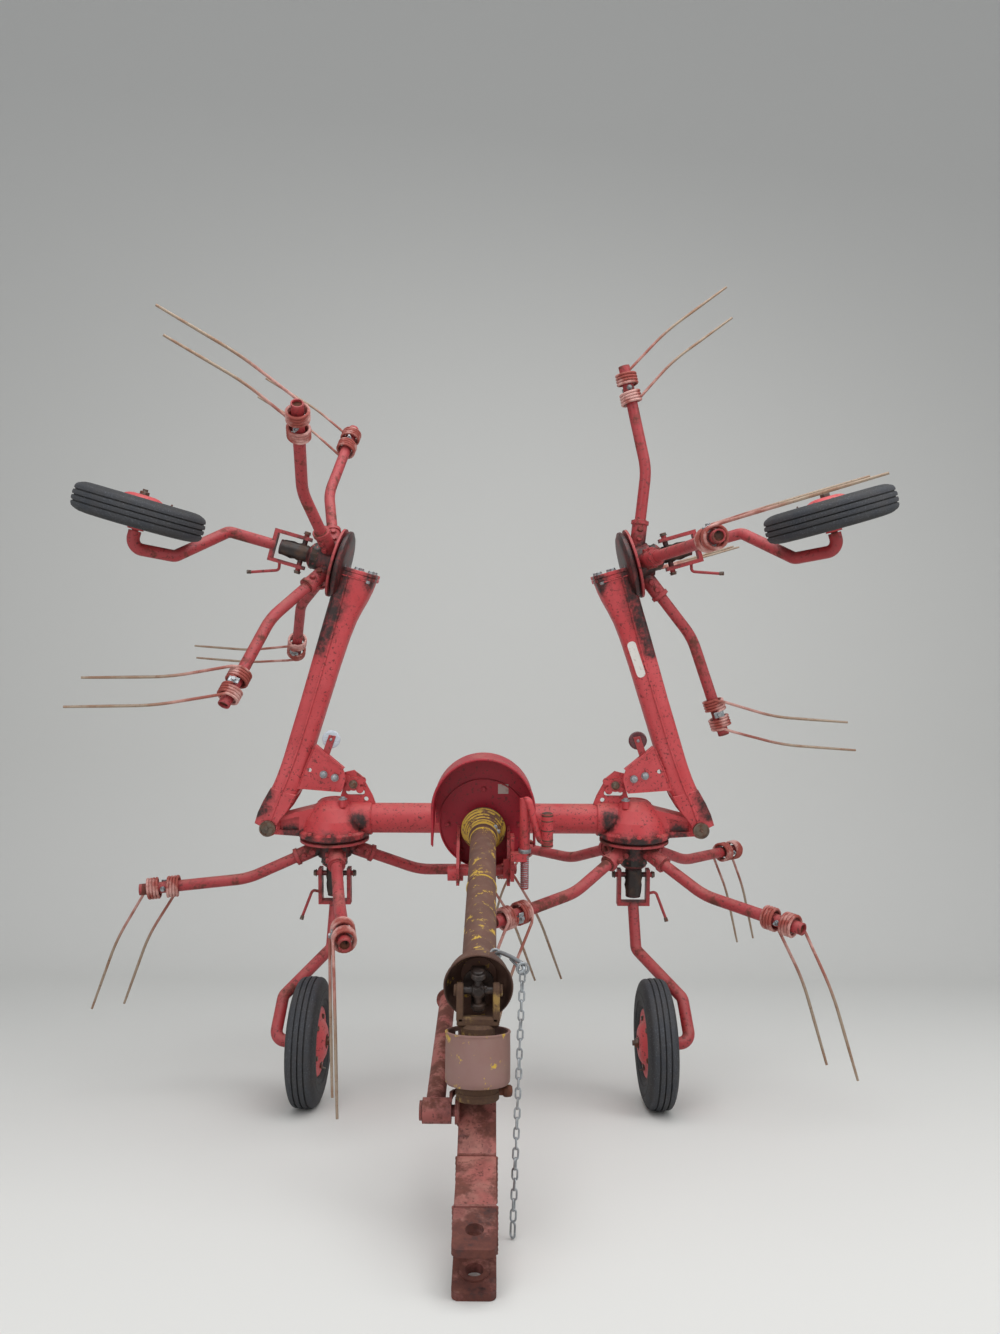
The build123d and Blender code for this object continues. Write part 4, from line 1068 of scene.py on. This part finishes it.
def guard_cone_rings():
    """Rings of the shaft guard's cone and tube, and the lugs and screw of its clamp band, in the shaft's frame."""
    rings = []
    for height, r in ((2, 70.5), (14, 67), (26, 61), (38, 55.5), (50, 50)):
        ring = [(r - 4, -3.2), (r - 0.5, -2.4), (r + 1.6, 0), (r - 1.6, 2.4), (r - 5, 3.2)]
        rings.append(moved(spun(ring, 64), at(0, 0, height)))
    rings.append(spun([(45.5, 58), (48.4, 59), (49, 62), (49, 70), (48.4, 73), (45.5, 74)], 64))
    for height in (96, 470, 905):
        rings.append(moved(spun([(39.5, -3), (42, -2), (42.4, 0), (42, 2), (39.5, 3)], 56), at(0, 0, height)))
    lugs = [moved(rounded_box((12, 12, 11), 2), turn_z(30) @ at(50, side * 9, 66)) for side in (-1, 1)]
    across, along = math.cos(0.52), math.sin(0.52)
    screw = [(50 * across - side * 16 * along, 50 * along + side * 16 * across, 66) for side in (-1, 1)]
    return joined(*rings), joined(*lugs, swept(screw, 2.6, 12))


def bell_shape():
    """Open bell with its collar, rolled lip and outer ribs, in the shaft's frame."""
    back, mouth = SHAFT_LENGTH - 96, SHAFT_LENGTH - 12
    outer = [(40.6, back), (46.6, back), (47, back + 2), (47, back + 20), (48.5, back + 24), (57, back + 33),
             (66.5, back + 40), (68.5, back + 46), (73.6, mouth - 9), (75.6, mouth - 6), (77, mouth - 3),
             (76.6, mouth), (74, mouth + 0.4), (72.8, mouth - 2), (71.4, mouth - 10), (65.4, back + 48),
             (63, back + 42), (54, back + 36), (45, back + 28), (40.6, back + 25)]
    ribs = []
    for step in range(8):
        ribs.append(moved(rounded_box((3, 7, 26), 0.9), turn_z(45 * step + 12) @ at(55, 0, back + 24)))
    return joined(spun(outer, 80, closed=True), *ribs)


def sleeve_shape():
    """Guard sleeve of the hanging yoke with two square openings near its top, about Z from the cross."""
    wall = [(69.6, 84), (69.6, 92), (69.6, 101), (69.9, 120), (69.9, 150), (69.8, 176), (69, 184), (66, 188.5),
            (60, 190), (47, 190)]
    tube = holed_wall(wall, 4.5, 72, ((1, 44, 2), (1, 52, 2)))
    lip = spun([(66.5, 82.5), (70.4, 82.5), (71, 84.5), (70.4, 87), (66.5, 87)], 72, closed=True)
    flange = spun([(36.5, 165), (65.5, 169), (65.5, 172), (36.5, 168.5)], 56, closed=True)
    return joined(tube, lip, flange)


def crank_thread_shape():
    """Thread on the galvanised end of the tilt spindle and the collar above it."""
    turn = arc(12.2, 0, 360, 17)[:-1]
    line = [Vector((130 + x, -362 + y, -66 + 6.0 * step / 16)) for step, (x, y) in enumerate(turn * 17)]
    collar = spun([(12, 0), (19, 0), (20, 1.5), (20, 10), (19, 12), (12, 12)], 40, closed=True)
    return joined(swept(line, 1.7, 6), moved(collar, at(130, -362, 47)))


def crank_grip_details():
    caps = []
    for z, sign in ((74, -1), (178, 1)):
        cap = spun([(0, 3.5), (11, 3), (17, 0), (18.6, -4), (18.2, -8)], 36)
        caps.append(moved(cap, aim((198, -396, z), (0, 0, sign))))
    for z in (96, 126, 156):
        caps.append(moved(spun([(17.6, -2.5), (18.9, -1), (18.9, 1), (17.6, 2.5)], 36), at(198, -396, z)))
    return joined(*caps)


def blank_label_shape():
    """Blank rounded label on the front of the right-hand arm, in working position."""
    outline = []
    for x, y, start in ((51, 2, 0), (-51, 2, 90), (-51, -2, 180), (51, -2, 270)):
        outline += [(x + dx, y + dy) for dx, dy in arc(13, start, start + 90, 5)]
    tilt = Matrix.Rotation(math.radians(-3), 4, "Y")
    return moved(slab(outline, 0.8, 0.2), at(PIVOT_X + 625, -45.9, PIVOT_Z + 56) @ tilt @ UPRIGHT)


def guard_label_shape():
    outline = [(-17, -16), (17, -16), (17, 16), (-17, 16)]
    return moved(slab(outline, 0.7, 0.2), at(64, -198.4, 214) @ UPRIGHT)


# --- settings, operators and panel ---

def colour_setting(name, description, default):
    return bpy.props.FloatVectorProperty(name=name, description=description, default=hex_colour(default),
                                         subtype="COLOR", size=3, min=0.0, max=1.0)


class TedderPaintSettings(bpy.types.PropertyGroup):
    red: colour_setting("Red Enamel", "Colour of the machine's enamel where it is sound", "#BE3A3F")
    chalked: colour_setting("Chalked Red", "Colour of the enamel where the sun has chalked it", "#D25C60")
    guard: colour_setting("Guard Red", "Deep red of the round guard and its hood", "#A3122A")
    rust: colour_setting("Rust", "Colour of bare rusted steel below the enamel", "#6B3A2E")
    chips: bpy.props.FloatProperty(name="Chips", description="How much of the enamel has chipped off",
                                   default=0.5, min=0.0, max=1.0, subtype="FACTOR")
    grease: bpy.props.FloatProperty(name="Grease", description="How much old grease lies round the bearings",
                                    default=1.0, min=0.0, max=1.0, subtype="FACTOR")


class TedderSpringSettings(bpy.types.PropertyGroup):
    turns: bpy.props.FloatProperty(name="Coil Turns", description="Turns of wire in each coil",
                                   default=4.0, min=2.0, max=4.0)
    old: colour_setting("Coil Rust", "Lighter rust on the coils", "#A8504A")
    worn: colour_setting("Rubbed Wire", "Colour of the tines where hay has rubbed them bare", "#A08E7C")


class TedderWheelSettings(bpy.types.PropertyGroup):
    rubber: colour_setting("Rubber", "Colour of clean tyre rubber", "#16191E")
    ribs: colour_setting("Dusty Ribs", "Colour of the worn ribs", "#3C4048")


class TedderShaftSettings(bpy.types.PropertyGroup):
    skin: colour_setting("Guard Skin", "Brown skin of the weathered shaft guard", "#5E4238")
    yellow: colour_setting("Guard Yellow", "Yellow that is left below the skin", "#C9A63A")


class TedderStageSettings(bpy.types.PropertyGroup):
    floor: colour_setting("Floor", "Colour of the floor and the wall behind", "#D9D9D6")
    light: bpy.props.FloatProperty(name="Light", description="Strength of the large soft lamp",
                                   default=150.0, min=0.0, unit="POWER")
    reach: bpy.props.FloatProperty(name="Floor Reach", description="Distance from the machine to the floor's edge",
                                   default=9.0, min=3.0, subtype="DISTANCE", unit="LENGTH")


def world_point(side, outer, x, y, z):
    """Place in the parked machine of a point in mm of the level right-hand layout."""
    return placing(side, outer) @ Vector((x / 1000, y / 1000, z / 1000))


def worn_chalk():
    return tuple(value * WORN_CHALK for value in bpy.context.scene.tedder_paint.chalked)


def rotor_matrix(name):
    """Side, outer or not, axis and height in mm in the level layout, and the rotor's matrix."""
    side, outer, phase = ROTORS[name]
    axis_x, base_z = (OUTER_X, OUTER_RISE) if outer else (INNER_X, 0.0)
    return side, outer, axis_x, base_z, placing(side, outer) @ at(axis_x, 0, base_z) @ turn_z(side * phase - 90)


# old grease in mm: on an inner housing from the rotor's axis, on an outer arm from its pivot; radius in metres
HOUSING_GREASE = ((-86, -40, 66, 0.05), (-60, -96, -2, 0.05), (0, -116, -4, 0.055), (60, -96, -2, 0.05),
                  (112, -40, -4, 0.05), (-112, -40, -4, 0.05), (0, 110, -4, 0.08), (150, -20, 20, 0.045))
ARM_GREASE = ((905, -22, 0.085), (860, -20, 0.08), (815, -18, 0.076), (770, -16, 0.07), (725, -14, 0.064),
              (685, -12, 0.056), (650, -10, 0.048), (915, 128, 0.06), (60, -50, 0.05), (105, -44, 0.045))


class TEDDER_OT_paint(bpy.types.Operator):
    """Give every piece that is kept as it was packed its own enamel, steel or plastic"""
    bl_idname = "tedder.paint"
    bl_label = "Paint the Frame"

    def execute(self, context):
        paint, shaft = context.scene.tedder_paint, context.scene.tedder_shaft

        def coat(nodes, material):
            for node in nodes:
                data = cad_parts[node].data
                data.materials.clear()
                data.materials.append(material)

        red = "Sprayed Red Enamel, "
        for name, side in SIDES.items():
            greasy = [(world_point(side, False, INNER_X + x, y, z), radius) for x, y, z, radius in HOUSING_GREASE]
            coat([f"inner_housing_{name}"],
                 sprayed_enamel(f"{red}Inner Housing {name}", 10.0 + side, 0.35, 0.55, grease=greasy))
            coat([f"lock_plate_{name}", f"latch_{name}"], sprayed_enamel(f"{red}Fold Lock {name}", 40.0 + side, 0.6))
            coat([f"fold_pin_{name}"], bare_steel(f"Turned Steel, Fold Pin {name}", 0.45, "#75685C", side))
        for name in ROTORS:
            side, outer, axis_x, base_z, _ = rotor_matrix(name)
            hub, stub = ([(world_point(side, outer, axis_x, 0, base_z + z), radius) for z, radius in spots]
                         for spots in (((-40, 0.105), (0, 0.1)), [(z, 0.06) for z in (-60, -100, -140, -180)]))
            seed = axis_x / 100 + side
            coat([f"rotor_{name}"], sprayed_enamel(f"{red}Rotor {name}", 50.0 + seed, 0.72, 0.6, 0.28, WORN, hub,
                                                   faded=worn_chalk()))
            coat([f"leg_{name}"], sprayed_enamel(f"{red}Leg {name}", 70.0 + seed, 0.62, 0.6, 0.22, WORN, stub,
                                                 faded=worn_chalk()))
        coat(["cross_beam", "centre_gearbox"], sprayed_enamel(f"{red}Beam", 3.0, 0.42, 0.5))
        coat(["tilt_bracket", "tilt_crank"], sprayed_enamel(f"{red}Tilt Bracket", 4.0, 0.6, 0.35, 0.2))
        soil = [(PARKED @ Vector((0, y / 1000, z / 1000)), 0.16)
                for y, z in ((-1480, -347), (-1640, -347), (-1330, -290))]
        coat(["drawbar", "parking_stand", "stand_pivot"], sprayed_enamel(
            f"{red}Drawbar", 5.0, 0.65, 0.6, 0.5, 1.0, soil, 0.45, hex_colour("#914A46"), hex_colour("#A8645C")))
        coat(["hitch_clevis", "shaft_rest"], sprayed_enamel(
            f"{red}Clevis", 6.0, 0.75, 0.5, 0.66, 1.0, soil, 0.6, hex_colour("#834540"), hex_colour("#A2675E")))
        guard = tuple(paint.guard)
        coat(["guard_plate", "guard_hood"], sprayed_enamel(
            "Sprayed Deep Red Enamel, Guard", 8.0, 0.3, 0.3, colour=guard,
            faded=tuple(min(1.0, value * 1.25 + 0.02) for value in guard)))
        coat(["shaft_tube"], moulded_guard("Moulded Polyethylene, Shaft Guard", tuple(shaft.skin), tuple(shaft.yellow),
                                           0.12, 2.0))
        return {"FINISHED"}


class TEDDER_OT_springs(bpy.types.Operator):
    """Wind the paired coil springs with their tines and bolt them to the rotor arms"""
    bl_idname = "tedder.springs"
    bl_label = "Spring Tines"

    def execute(self, context):
        settings = context.scene.tedder_spring
        wire = spring_wire("Oil-Tempered Spring Wire", tuple(settings.old), tuple(settings.worn))
        zinc = dipped_zinc("Hot-Dip Zinc")
        rim_coat = sprayed_enamel("Sprayed Red Enamel, Tube Ends", 95.0, 0.8, 0.6, 0.4, WORN, faded=worn_chalk())
        # painted shade: the disc that closes each tube just inside its end is near black to stand for the shade in the
        # hollow tube, with real rust patches over it
        painted_tube_shade = bare_steel("Rusty Steel, Inside of the Tubes", 0.9, "#15100E", 9.0)
        for name in ROTORS:
            matrix = rotor_matrix(name)[-1]
            arms = [matrix @ turn_z(90 * arm) for arm in range(4)]
            springs = joined(*[moved(spring_shape(settings.turns), arm) for arm in arms])
            clamps = joined(*[moved(clamp_shape(), arm) for arm in arms])
            bolts = joined(*[moved(rotor_bolt_shape(), arm) for arm in arms])
            piece(f"Spring Tines {name}", springs, [wire], f"rotor_{name}", [f"tines_{name}"], 60)
            piece(f"Spring Clamps {name}", clamps, [zinc], f"rotor_{name}")
            piece(f"Socket Bolts {name}", bolts, [rim_coat], f"rotor_{name}")
            wall, inside = tube_end_shape()
            walls, shade_discs = (joined(*[moved(shape, arm) for arm in arms]) for shape in (wall, inside))
            piece(f"Tube Ends {name}", joined(walls, shade_discs), [rim_coat, painted_tube_shade], f"rotor_{name}",
                  indices=[0] * len(walls[1]) + [1] * len(shade_discs[1]))
        return {"FINISHED"}


class TEDDER_OT_wheels(bpy.types.Operator):
    """Make the grooved tyres and the pressed rims with their bolts and valves"""
    bl_idname = "tedder.wheels"
    bl_label = "Wheels"

    def execute(self, context):
        settings = context.scene.tedder_wheel
        rubber = tyre_rubber("Moulded Tyre Rubber", tuple(settings.rubber), tuple(settings.ribs))
        enamel = sprayed_enamel("Sprayed Red Enamel, Rims", 90.0, 0.45, 0.6, 0.1)
        steel = bare_steel("Plated Steel, Wheel Bolts", 0.6, "#7B746C", 6.0)
        rim, bolts = rim_shape()
        for name in ROTORS:
            side, outer, axis_x, base_z, _ = rotor_matrix(name)
            leg_side = -1 if outer else 1
            matrix = placing(side, outer) @ at(axis_x + leg_side * WHEEL_SIDE, -WHEEL_FORWARD, base_z - WHEEL_DROP)
            matrix = matrix @ Matrix.Rotation(math.radians(90 * leg_side), 4, "Y")
            body = f"wheel_{name}"
            piece(f"Tyre {name}", moved(tyre_shape(), matrix), [rubber], body, [f"tyre_{name}"], 40)
            piece(f"Rim {name}", moved(rim, matrix), [enamel], body, [f"rim_{name}"], 40)
            piece(f"Rim Bolts {name}", moved(bolts, matrix), [steel], body)
        return {"FINISHED"}


class TEDDER_OT_legs(bpy.types.Operator):
    """Add the fork pin heads, axle nuts, lever knobs and pushed-out grease of the wheel legs"""
    bl_idname = "tedder.legs"
    bl_label = "Wheel Legs"

    def execute(self, context):
        steel = bare_steel("Plated Steel, Leg Bolts", 0.55, "#6F665E", 8.0)
        grease = greased_iron("Old Grease")
        for name in ROTORS:
            side, outer, axis_x, base_z, _ = rotor_matrix(name)
            matrix, body = placing(side, outer), f"arm_{name[6:]}" if outer else "chassis"
            bolts, ring = leg_details(axis_x, base_z, -1 if outer else 1), stub_grease_shape(axis_x, base_z)
            piece(f"Leg Bolts {name}", moved(bolts, matrix), [steel], body)
            piece(f"Stub Grease {name}", moved(ring, matrix), [grease], body)
        return {"FINISHED"}


class TEDDER_OT_housings(bpy.types.Operator):
    """Make the outer arms and heads, and add bolts, plugs, welds and pivot fittings to arms and housings"""
    bl_idname = "tedder.housings"
    bl_label = "Housings and Arms"

    def execute(self, context):
        red = "Sprayed Red Enamel, "
        enamel = sprayed_enamel(f"{red}Fittings", 110.0, 0.55, 0.4, 0.1)
        zinc = dipped_zinc("Hot-Dip Zinc")
        steel = bare_steel("Turned Steel, Pivot Fittings", 0.5, "#7A6E62", 12.0)
        label = vinyl("Unprinted White Vinyl", hex_colour("#DAD6D0"))
        for name, side in SIDES.items():
            arm = f"arm_{name}"
            smears = [(world_point(side, True, PIVOT_X + x, -50, PIVOT_Z + z), radius) for x, z, radius in ARM_GREASE]
            skin = sprayed_enamel(f"{red}Outer Arm {name}", 20.0 + side, 0.4, 0.75, grease=smears)
            smears = [(world_point(side, True, OUTER_X, 0, OUTER_RISE + 20), 0.3)]
            black = sprayed_enamel(f"{red}Outer Head {name}", 30.0 + side, 0.35, 0.1, dark=0.4, grease=smears)
            for title, shape, material, slot in (
                    ("Housing Fittings", inner_housing_details(), enamel, "machine_paint"),
                    ("Filler Plug", filler_plug_shape(), zinc, "galvanised"),
                    ("Pivot Fittings", pivot_details(), steel, "bare_steel"),
                    ("Latch Fittings", latch_bolt_shape(), steel, "bare_steel")):
                piece(f"{title} {name}", moved(shape, placing(side, False)), [material], "chassis")
            for title, shape, material, slot, nodes, smooth in (
                    ("Outer Arm", outer_arm_shape(), skin, "machine_paint", [f"outer_arm_{name}"], 30),
                    ("Outer Head", outer_head_shape(), black, "machine_paint", [f"outer_head_{name}"], 30),
                    ("Head Fittings", outer_head_details(), zinc, "galvanised", (), 35),
                    ("Arm Welds", arm_details(), enamel, "machine_paint", (), 35),
                    ("Lug Bolts", fold_lock_bolts(), zinc, "galvanised", (), 35)):
                piece(f"{title} {name}", moved(shape, placing(side, True)), [material], arm, nodes, smooth)
        piece("Arm Label", moved(blank_label_shape(), placing(1, True)), [label], "arm_right")
        return {"FINISHED"}


class TEDDER_OT_reflectors(bpy.types.Operator):
    """Make both round reflectors with their strips and rivets"""
    bl_idname = "tedder.reflectors"
    bl_label = "Reflectors"

    def execute(self, context):
        white = moulded_lens("Moulded Acrylic, Clear", hex_colour("#C9D2DC"), 0.75)
        dark = moulded_lens("Moulded Acrylic, Red", hex_colour("#5A1420"), 0.5)
        strip_coat = sprayed_enamel("Sprayed Red Enamel, Strips", 120.0, 0.4, 0.3, 0.1, 0.6)
        rivet_metal = dipped_zinc("Rivet Zinc")
        lens, strip, rivet = reflector_shape()
        shape = joined(lens, strip, rivet)
        indices = [0] * len(lens[1]) + [1] * len(strip[1]) + [2] * len(rivet[1])
        for name, lens_material, slot in (("left", white, "reflector_white"), ("right", dark, "reflector_red")):
            piece(f"Reflector {name}", moved(shape, placing(SIDES[name], True)),
                  [lens_material, strip_coat, rivet_metal], f"arm_{name}", [f"reflector_{name}"], indices=indices)
        return {"FINISHED"}


class TEDDER_OT_shaft(bpy.types.Operator):
    """Make the drive shaft's guard rings, bell, joint, hanging yoke and sleeve"""
    bl_idname = "tedder.shaft"
    bl_label = "Drive Shaft"

    def execute(self, context):
        settings = context.scene.tedder_shaft
        skin, yellow = tuple(settings.skin), tuple(settings.yellow)
        cone = moulded_guard("Moulded Polyethylene, Cone", skin, yellow, 0.55, 5.0)
        dark = moulded_guard("Moulded Polyethylene, Bell", tuple(value * 0.55 for value in skin), yellow, 0.02, 9.0)
        sleeve = moulded_guard("Moulded Polyethylene, Sleeve", hex_colour("#8C6C66"), yellow, 0.1, 14.0)
        grease = greased_iron("Forged Steel under Grease")
        worn = sprayed_enamel("Sprayed Yellow Enamel, Hanging Yoke", 160.0, 0.9, 0.4, 0.72,
                              colour=hex_colour("#8E6F34"), faded=hex_colour("#A88B4E"), rust=hex_colour("#4E3529"))
        knob_metal = bare_steel("Cast Iron, Lock Knob", 0.9, "#5A4034", 16.0)
        zinc = dipped_zinc("Hot-Dip Zinc")
        along = PARKED @ shaft_matrix()
        rings, clamp = guard_cone_rings()
        piece("Guard Rings", moved(rings, along), [cone], "shaft")
        piece("Guard Clamp Screw", moved(clamp, along), [zinc], "shaft")
        piece("Bell", moved(bell_shape(), along), [dark], "shaft", ["shaft_bell"], 40)
        joint = moved(joint_shape(), PARKED @ shaft_matrix(SHAFT_LENGTH))
        piece("Joint", joint, [grease], "shaft", ["shaft_joint"])
        yoke, knob, teeth = hanging_yoke_shape()
        hanging = PARKED @ yoke_matrix()
        shape = joined(yoke, teeth, knob)
        indices = [0] * (len(yoke[1]) + len(teeth[1])) + [1] * len(knob[1])
        piece("Hanging Yoke", moved(shape, hanging), [worn, knob_metal], "yoke", ["front_yoke"],
              indices=indices)
        piece("Yoke Sleeve", moved(sleeve_shape(), hanging), [sleeve], "yoke", ["yoke_sleeve"], 40)
        return {"FINISHED"}


class TEDDER_OT_chain(bpy.types.Operator):
    """Hook the galvanised chain to the bell's collar and let it hang to the ground"""
    bl_idname = "tedder.chain"
    bl_label = "Chain"

    def execute(self, context):
        zinc = dipped_zinc("Hot-Dip Zinc")
        shape = joined(snap_hook_shape(), chain_shape())
        piece("Hook and Chain", moved(shape, PARKED), [zinc], "shaft", ["hitch_chain"], 60)
        return {"FINISHED"}


class TEDDER_OT_front(bpy.types.Operator):
    """Add the drawbar's welds, the guard's rolled edge and the crank's thread and grip"""
    bl_idname = "tedder.front"
    bl_label = "Drawbar, Guard and Crank"

    def execute(self, context):
        paint = context.scene.tedder_paint
        enamel = sprayed_enamel("Sprayed Red Enamel, Welds", 130.0, 0.9, 0.4, 0.5, colour=hex_colour("#7A403B"),
                                faded=hex_colour("#94584F"))
        deep = sprayed_enamel("Sprayed Deep Red Enamel, Guard Edge", 140.0, 0.6, 0.3, colour=tuple(paint.guard))
        zinc = dipped_zinc("Hot-Dip Zinc")
        grip = bare_steel("Worn Steel, Crank Grip", 0.5, "#6A5048", 18.0)
        label = vinyl("Unprinted Grey Vinyl", hex_colour("#B9A9A2"))
        for title, shape, material, slot in (
                ("Drawbar Welds", drawbar_details(), enamel, "machine_paint"),
                ("Guard Edge", guard_details(), deep, "guard_paint"),
                ("Guard Label", guard_label_shape(), label, "guard_paint"),
                ("Crank Thread", crank_thread_shape(), zinc, "galvanised"),
                ("Crank Grip", crank_grip_details(), grip, "bare_steel")):
            piece(title, moved(shape, PARKED), [material], "chassis")
        return {"FINISHED"}


# stage in metres: start, radius and height of the curve that turns the floor into a wall; strength of the sky
WALL_START, WALL_RADIUS, WALL_HEIGHT, SKY = 3.2, 1.6, 16.0, 0.48
# lamps: name, place in metres, size, share of the set strength
LAMPS = (("Soft Sky", (0.5, -1.6, 4.6), 4.5, 1.0), ("Front Fill", (-2.6, -4.2, 2.0), 3.0, 0.32),
         ("Side Fill", (3.6, -2.6, 2.6), 2.5, 0.3))
# camera: focal length and frame height in pixels, sensor height in mm, sideways shift
FOCAL, FRAME_HEIGHT, SENSOR, VIEW_SHIFT = 935.0, 1334, 36, 0.009
# its place in mm of the level layout, and its turn, dip and roll in degrees
VIEW_SPOT, VIEW_TURN, VIEW_DIP, VIEW_ROLL = (30, -3234, 827), 0.33, 3.99, 0.21


class TEDDER_OT_stage(bpy.types.Operator):
    """Set the pale floor that rises to a wall, the soft lamps and the camera of the photographed view"""
    bl_idname = "tedder.stage"
    bl_label = "Stage"

    def execute(self, context):
        settings = context.scene.tedder_stage
        scene = context.scene
        reach = settings.reach
        curve = [math.pi / 2 * step / 12 for step in range(13)]
        profile = [(-reach, 0.0)]
        profile += [(WALL_START + WALL_RADIUS * math.sin(a), WALL_RADIUS - WALL_RADIUS * math.cos(a)) for a in curve]
        profile.append((WALL_START + WALL_RADIUS, WALL_HEIGHT))
        points, faces = [], []
        for y, z in profile:
            points += [(-reach * 1.6, y, z), (reach * 1.6, y, z)]
        for index in range(len(profile) - 1):
            faces.append((2 * index, 2 * index + 1, 2 * index + 3, 2 * index + 2))
        mesh = bpy.data.meshes.new("Floor")
        mesh.from_pydata(points, [], faces)
        mesh.polygons.foreach_set("use_smooth", [True] * len(faces))
        material, tree, _ = new_finish("Matt Painted Floor")
        matt = add(tree, "BsdfPrincipled", {"Base Color": tuple(settings.floor), "Roughness": 0.95, "IOR": 1.45})
        add(tree, "OutputMaterial", None, {0: matt.outputs[0]})
        mesh.materials.append(material)
        floor = bpy.data.objects.new("Floor", mesh)
        scene.collection.objects.link(floor)
        for name, spot, size, share in LAMPS:
            lamp = bpy.data.lights.new(name, "AREA")
            lamp.energy, lamp.size = settings.light * share, size
            made = bpy.data.objects.new(name, lamp)
            made.location = spot
            made.rotation_euler = (Vector((0, 0.2, 0.8)) - Vector(spot)).to_track_quat("-Z", "Y").to_euler()
            scene.collection.objects.link(made)
        world = bpy.data.worlds.new("Overcast")
        world.use_nodes = True
        world.node_tree.nodes["Background"].inputs[0].default_value = (*hex_colour("#F2F4F7"), 1.0)
        world.node_tree.nodes["Background"].inputs[1].default_value = SKY
        scene.world = world
        scene.view_settings.view_transform = "Standard"
        data = bpy.data.cameras.new("Photographed View")
        data.sensor_fit, data.sensor_height = "VERTICAL", SENSOR
        data.lens, data.shift_x = FOCAL / FRAME_HEIGHT * SENSOR, VIEW_SHIFT
        camera = bpy.data.objects.new("Photographed View", data)
        view = turn_z(VIEW_TURN) @ Matrix.Rotation(math.radians(90 - VIEW_DIP), 4, "X") @ turn_z(VIEW_ROLL)
        camera.matrix_world = PARKED @ at(*VIEW_SPOT) @ view
        scene.collection.objects.link(camera)
        scene.camera = camera
        return {"FINISHED"}


STEPS = (TEDDER_OT_paint, TEDDER_OT_springs, TEDDER_OT_wheels, TEDDER_OT_legs, TEDDER_OT_housings, TEDDER_OT_reflectors,
         TEDDER_OT_shaft, TEDDER_OT_chain, TEDDER_OT_front, TEDDER_OT_stage)
SETTINGS = {
    "tedder_paint": TedderPaintSettings, "tedder_spring": TedderSpringSettings, "tedder_wheel": TedderWheelSettings,
    "tedder_shaft": TedderShaftSettings, "tedder_stage": TedderStageSettings,
}


class TEDDER_PT_panel(bpy.types.Panel):
    """Settings and steps of the hay tedder"""
    bl_idname = "TEDDER_PT_panel"
    bl_label = "Parked Hay Tedder"
    bl_space_type = "VIEW_3D"
    bl_region_type = "UI"
    bl_category = "Tedder"

    def draw(self, context):
        for name, group in SETTINGS.items():
            box = self.layout.box()
            settings = getattr(context.scene, name)
            for key in group.__annotations__:
                box.prop(settings, key)
        for step in STEPS:
            self.layout.operator(step.bl_idname)


def register():
    for name, group in SETTINGS.items():
        bpy.utils.register_class(group)
        setattr(bpy.types.Scene, name, bpy.props.PointerProperty(type=group))
    for kind in (*STEPS, TEDDER_PT_panel):
        bpy.utils.register_class(kind)


def unregister():
    for kind in (TEDDER_PT_panel, *reversed(STEPS)):
        bpy.utils.unregister_class(kind)
    for name, group in reversed(SETTINGS.items()):
        delattr(bpy.types.Scene, name)
        bpy.utils.unregister_class(group)


def main():
    register()
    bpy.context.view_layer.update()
    for step in STEPS:
        area, name = step.bl_idname.split(".")
        getattr(getattr(bpy.ops, area), name)()


if __name__ == "__main__":
    main()
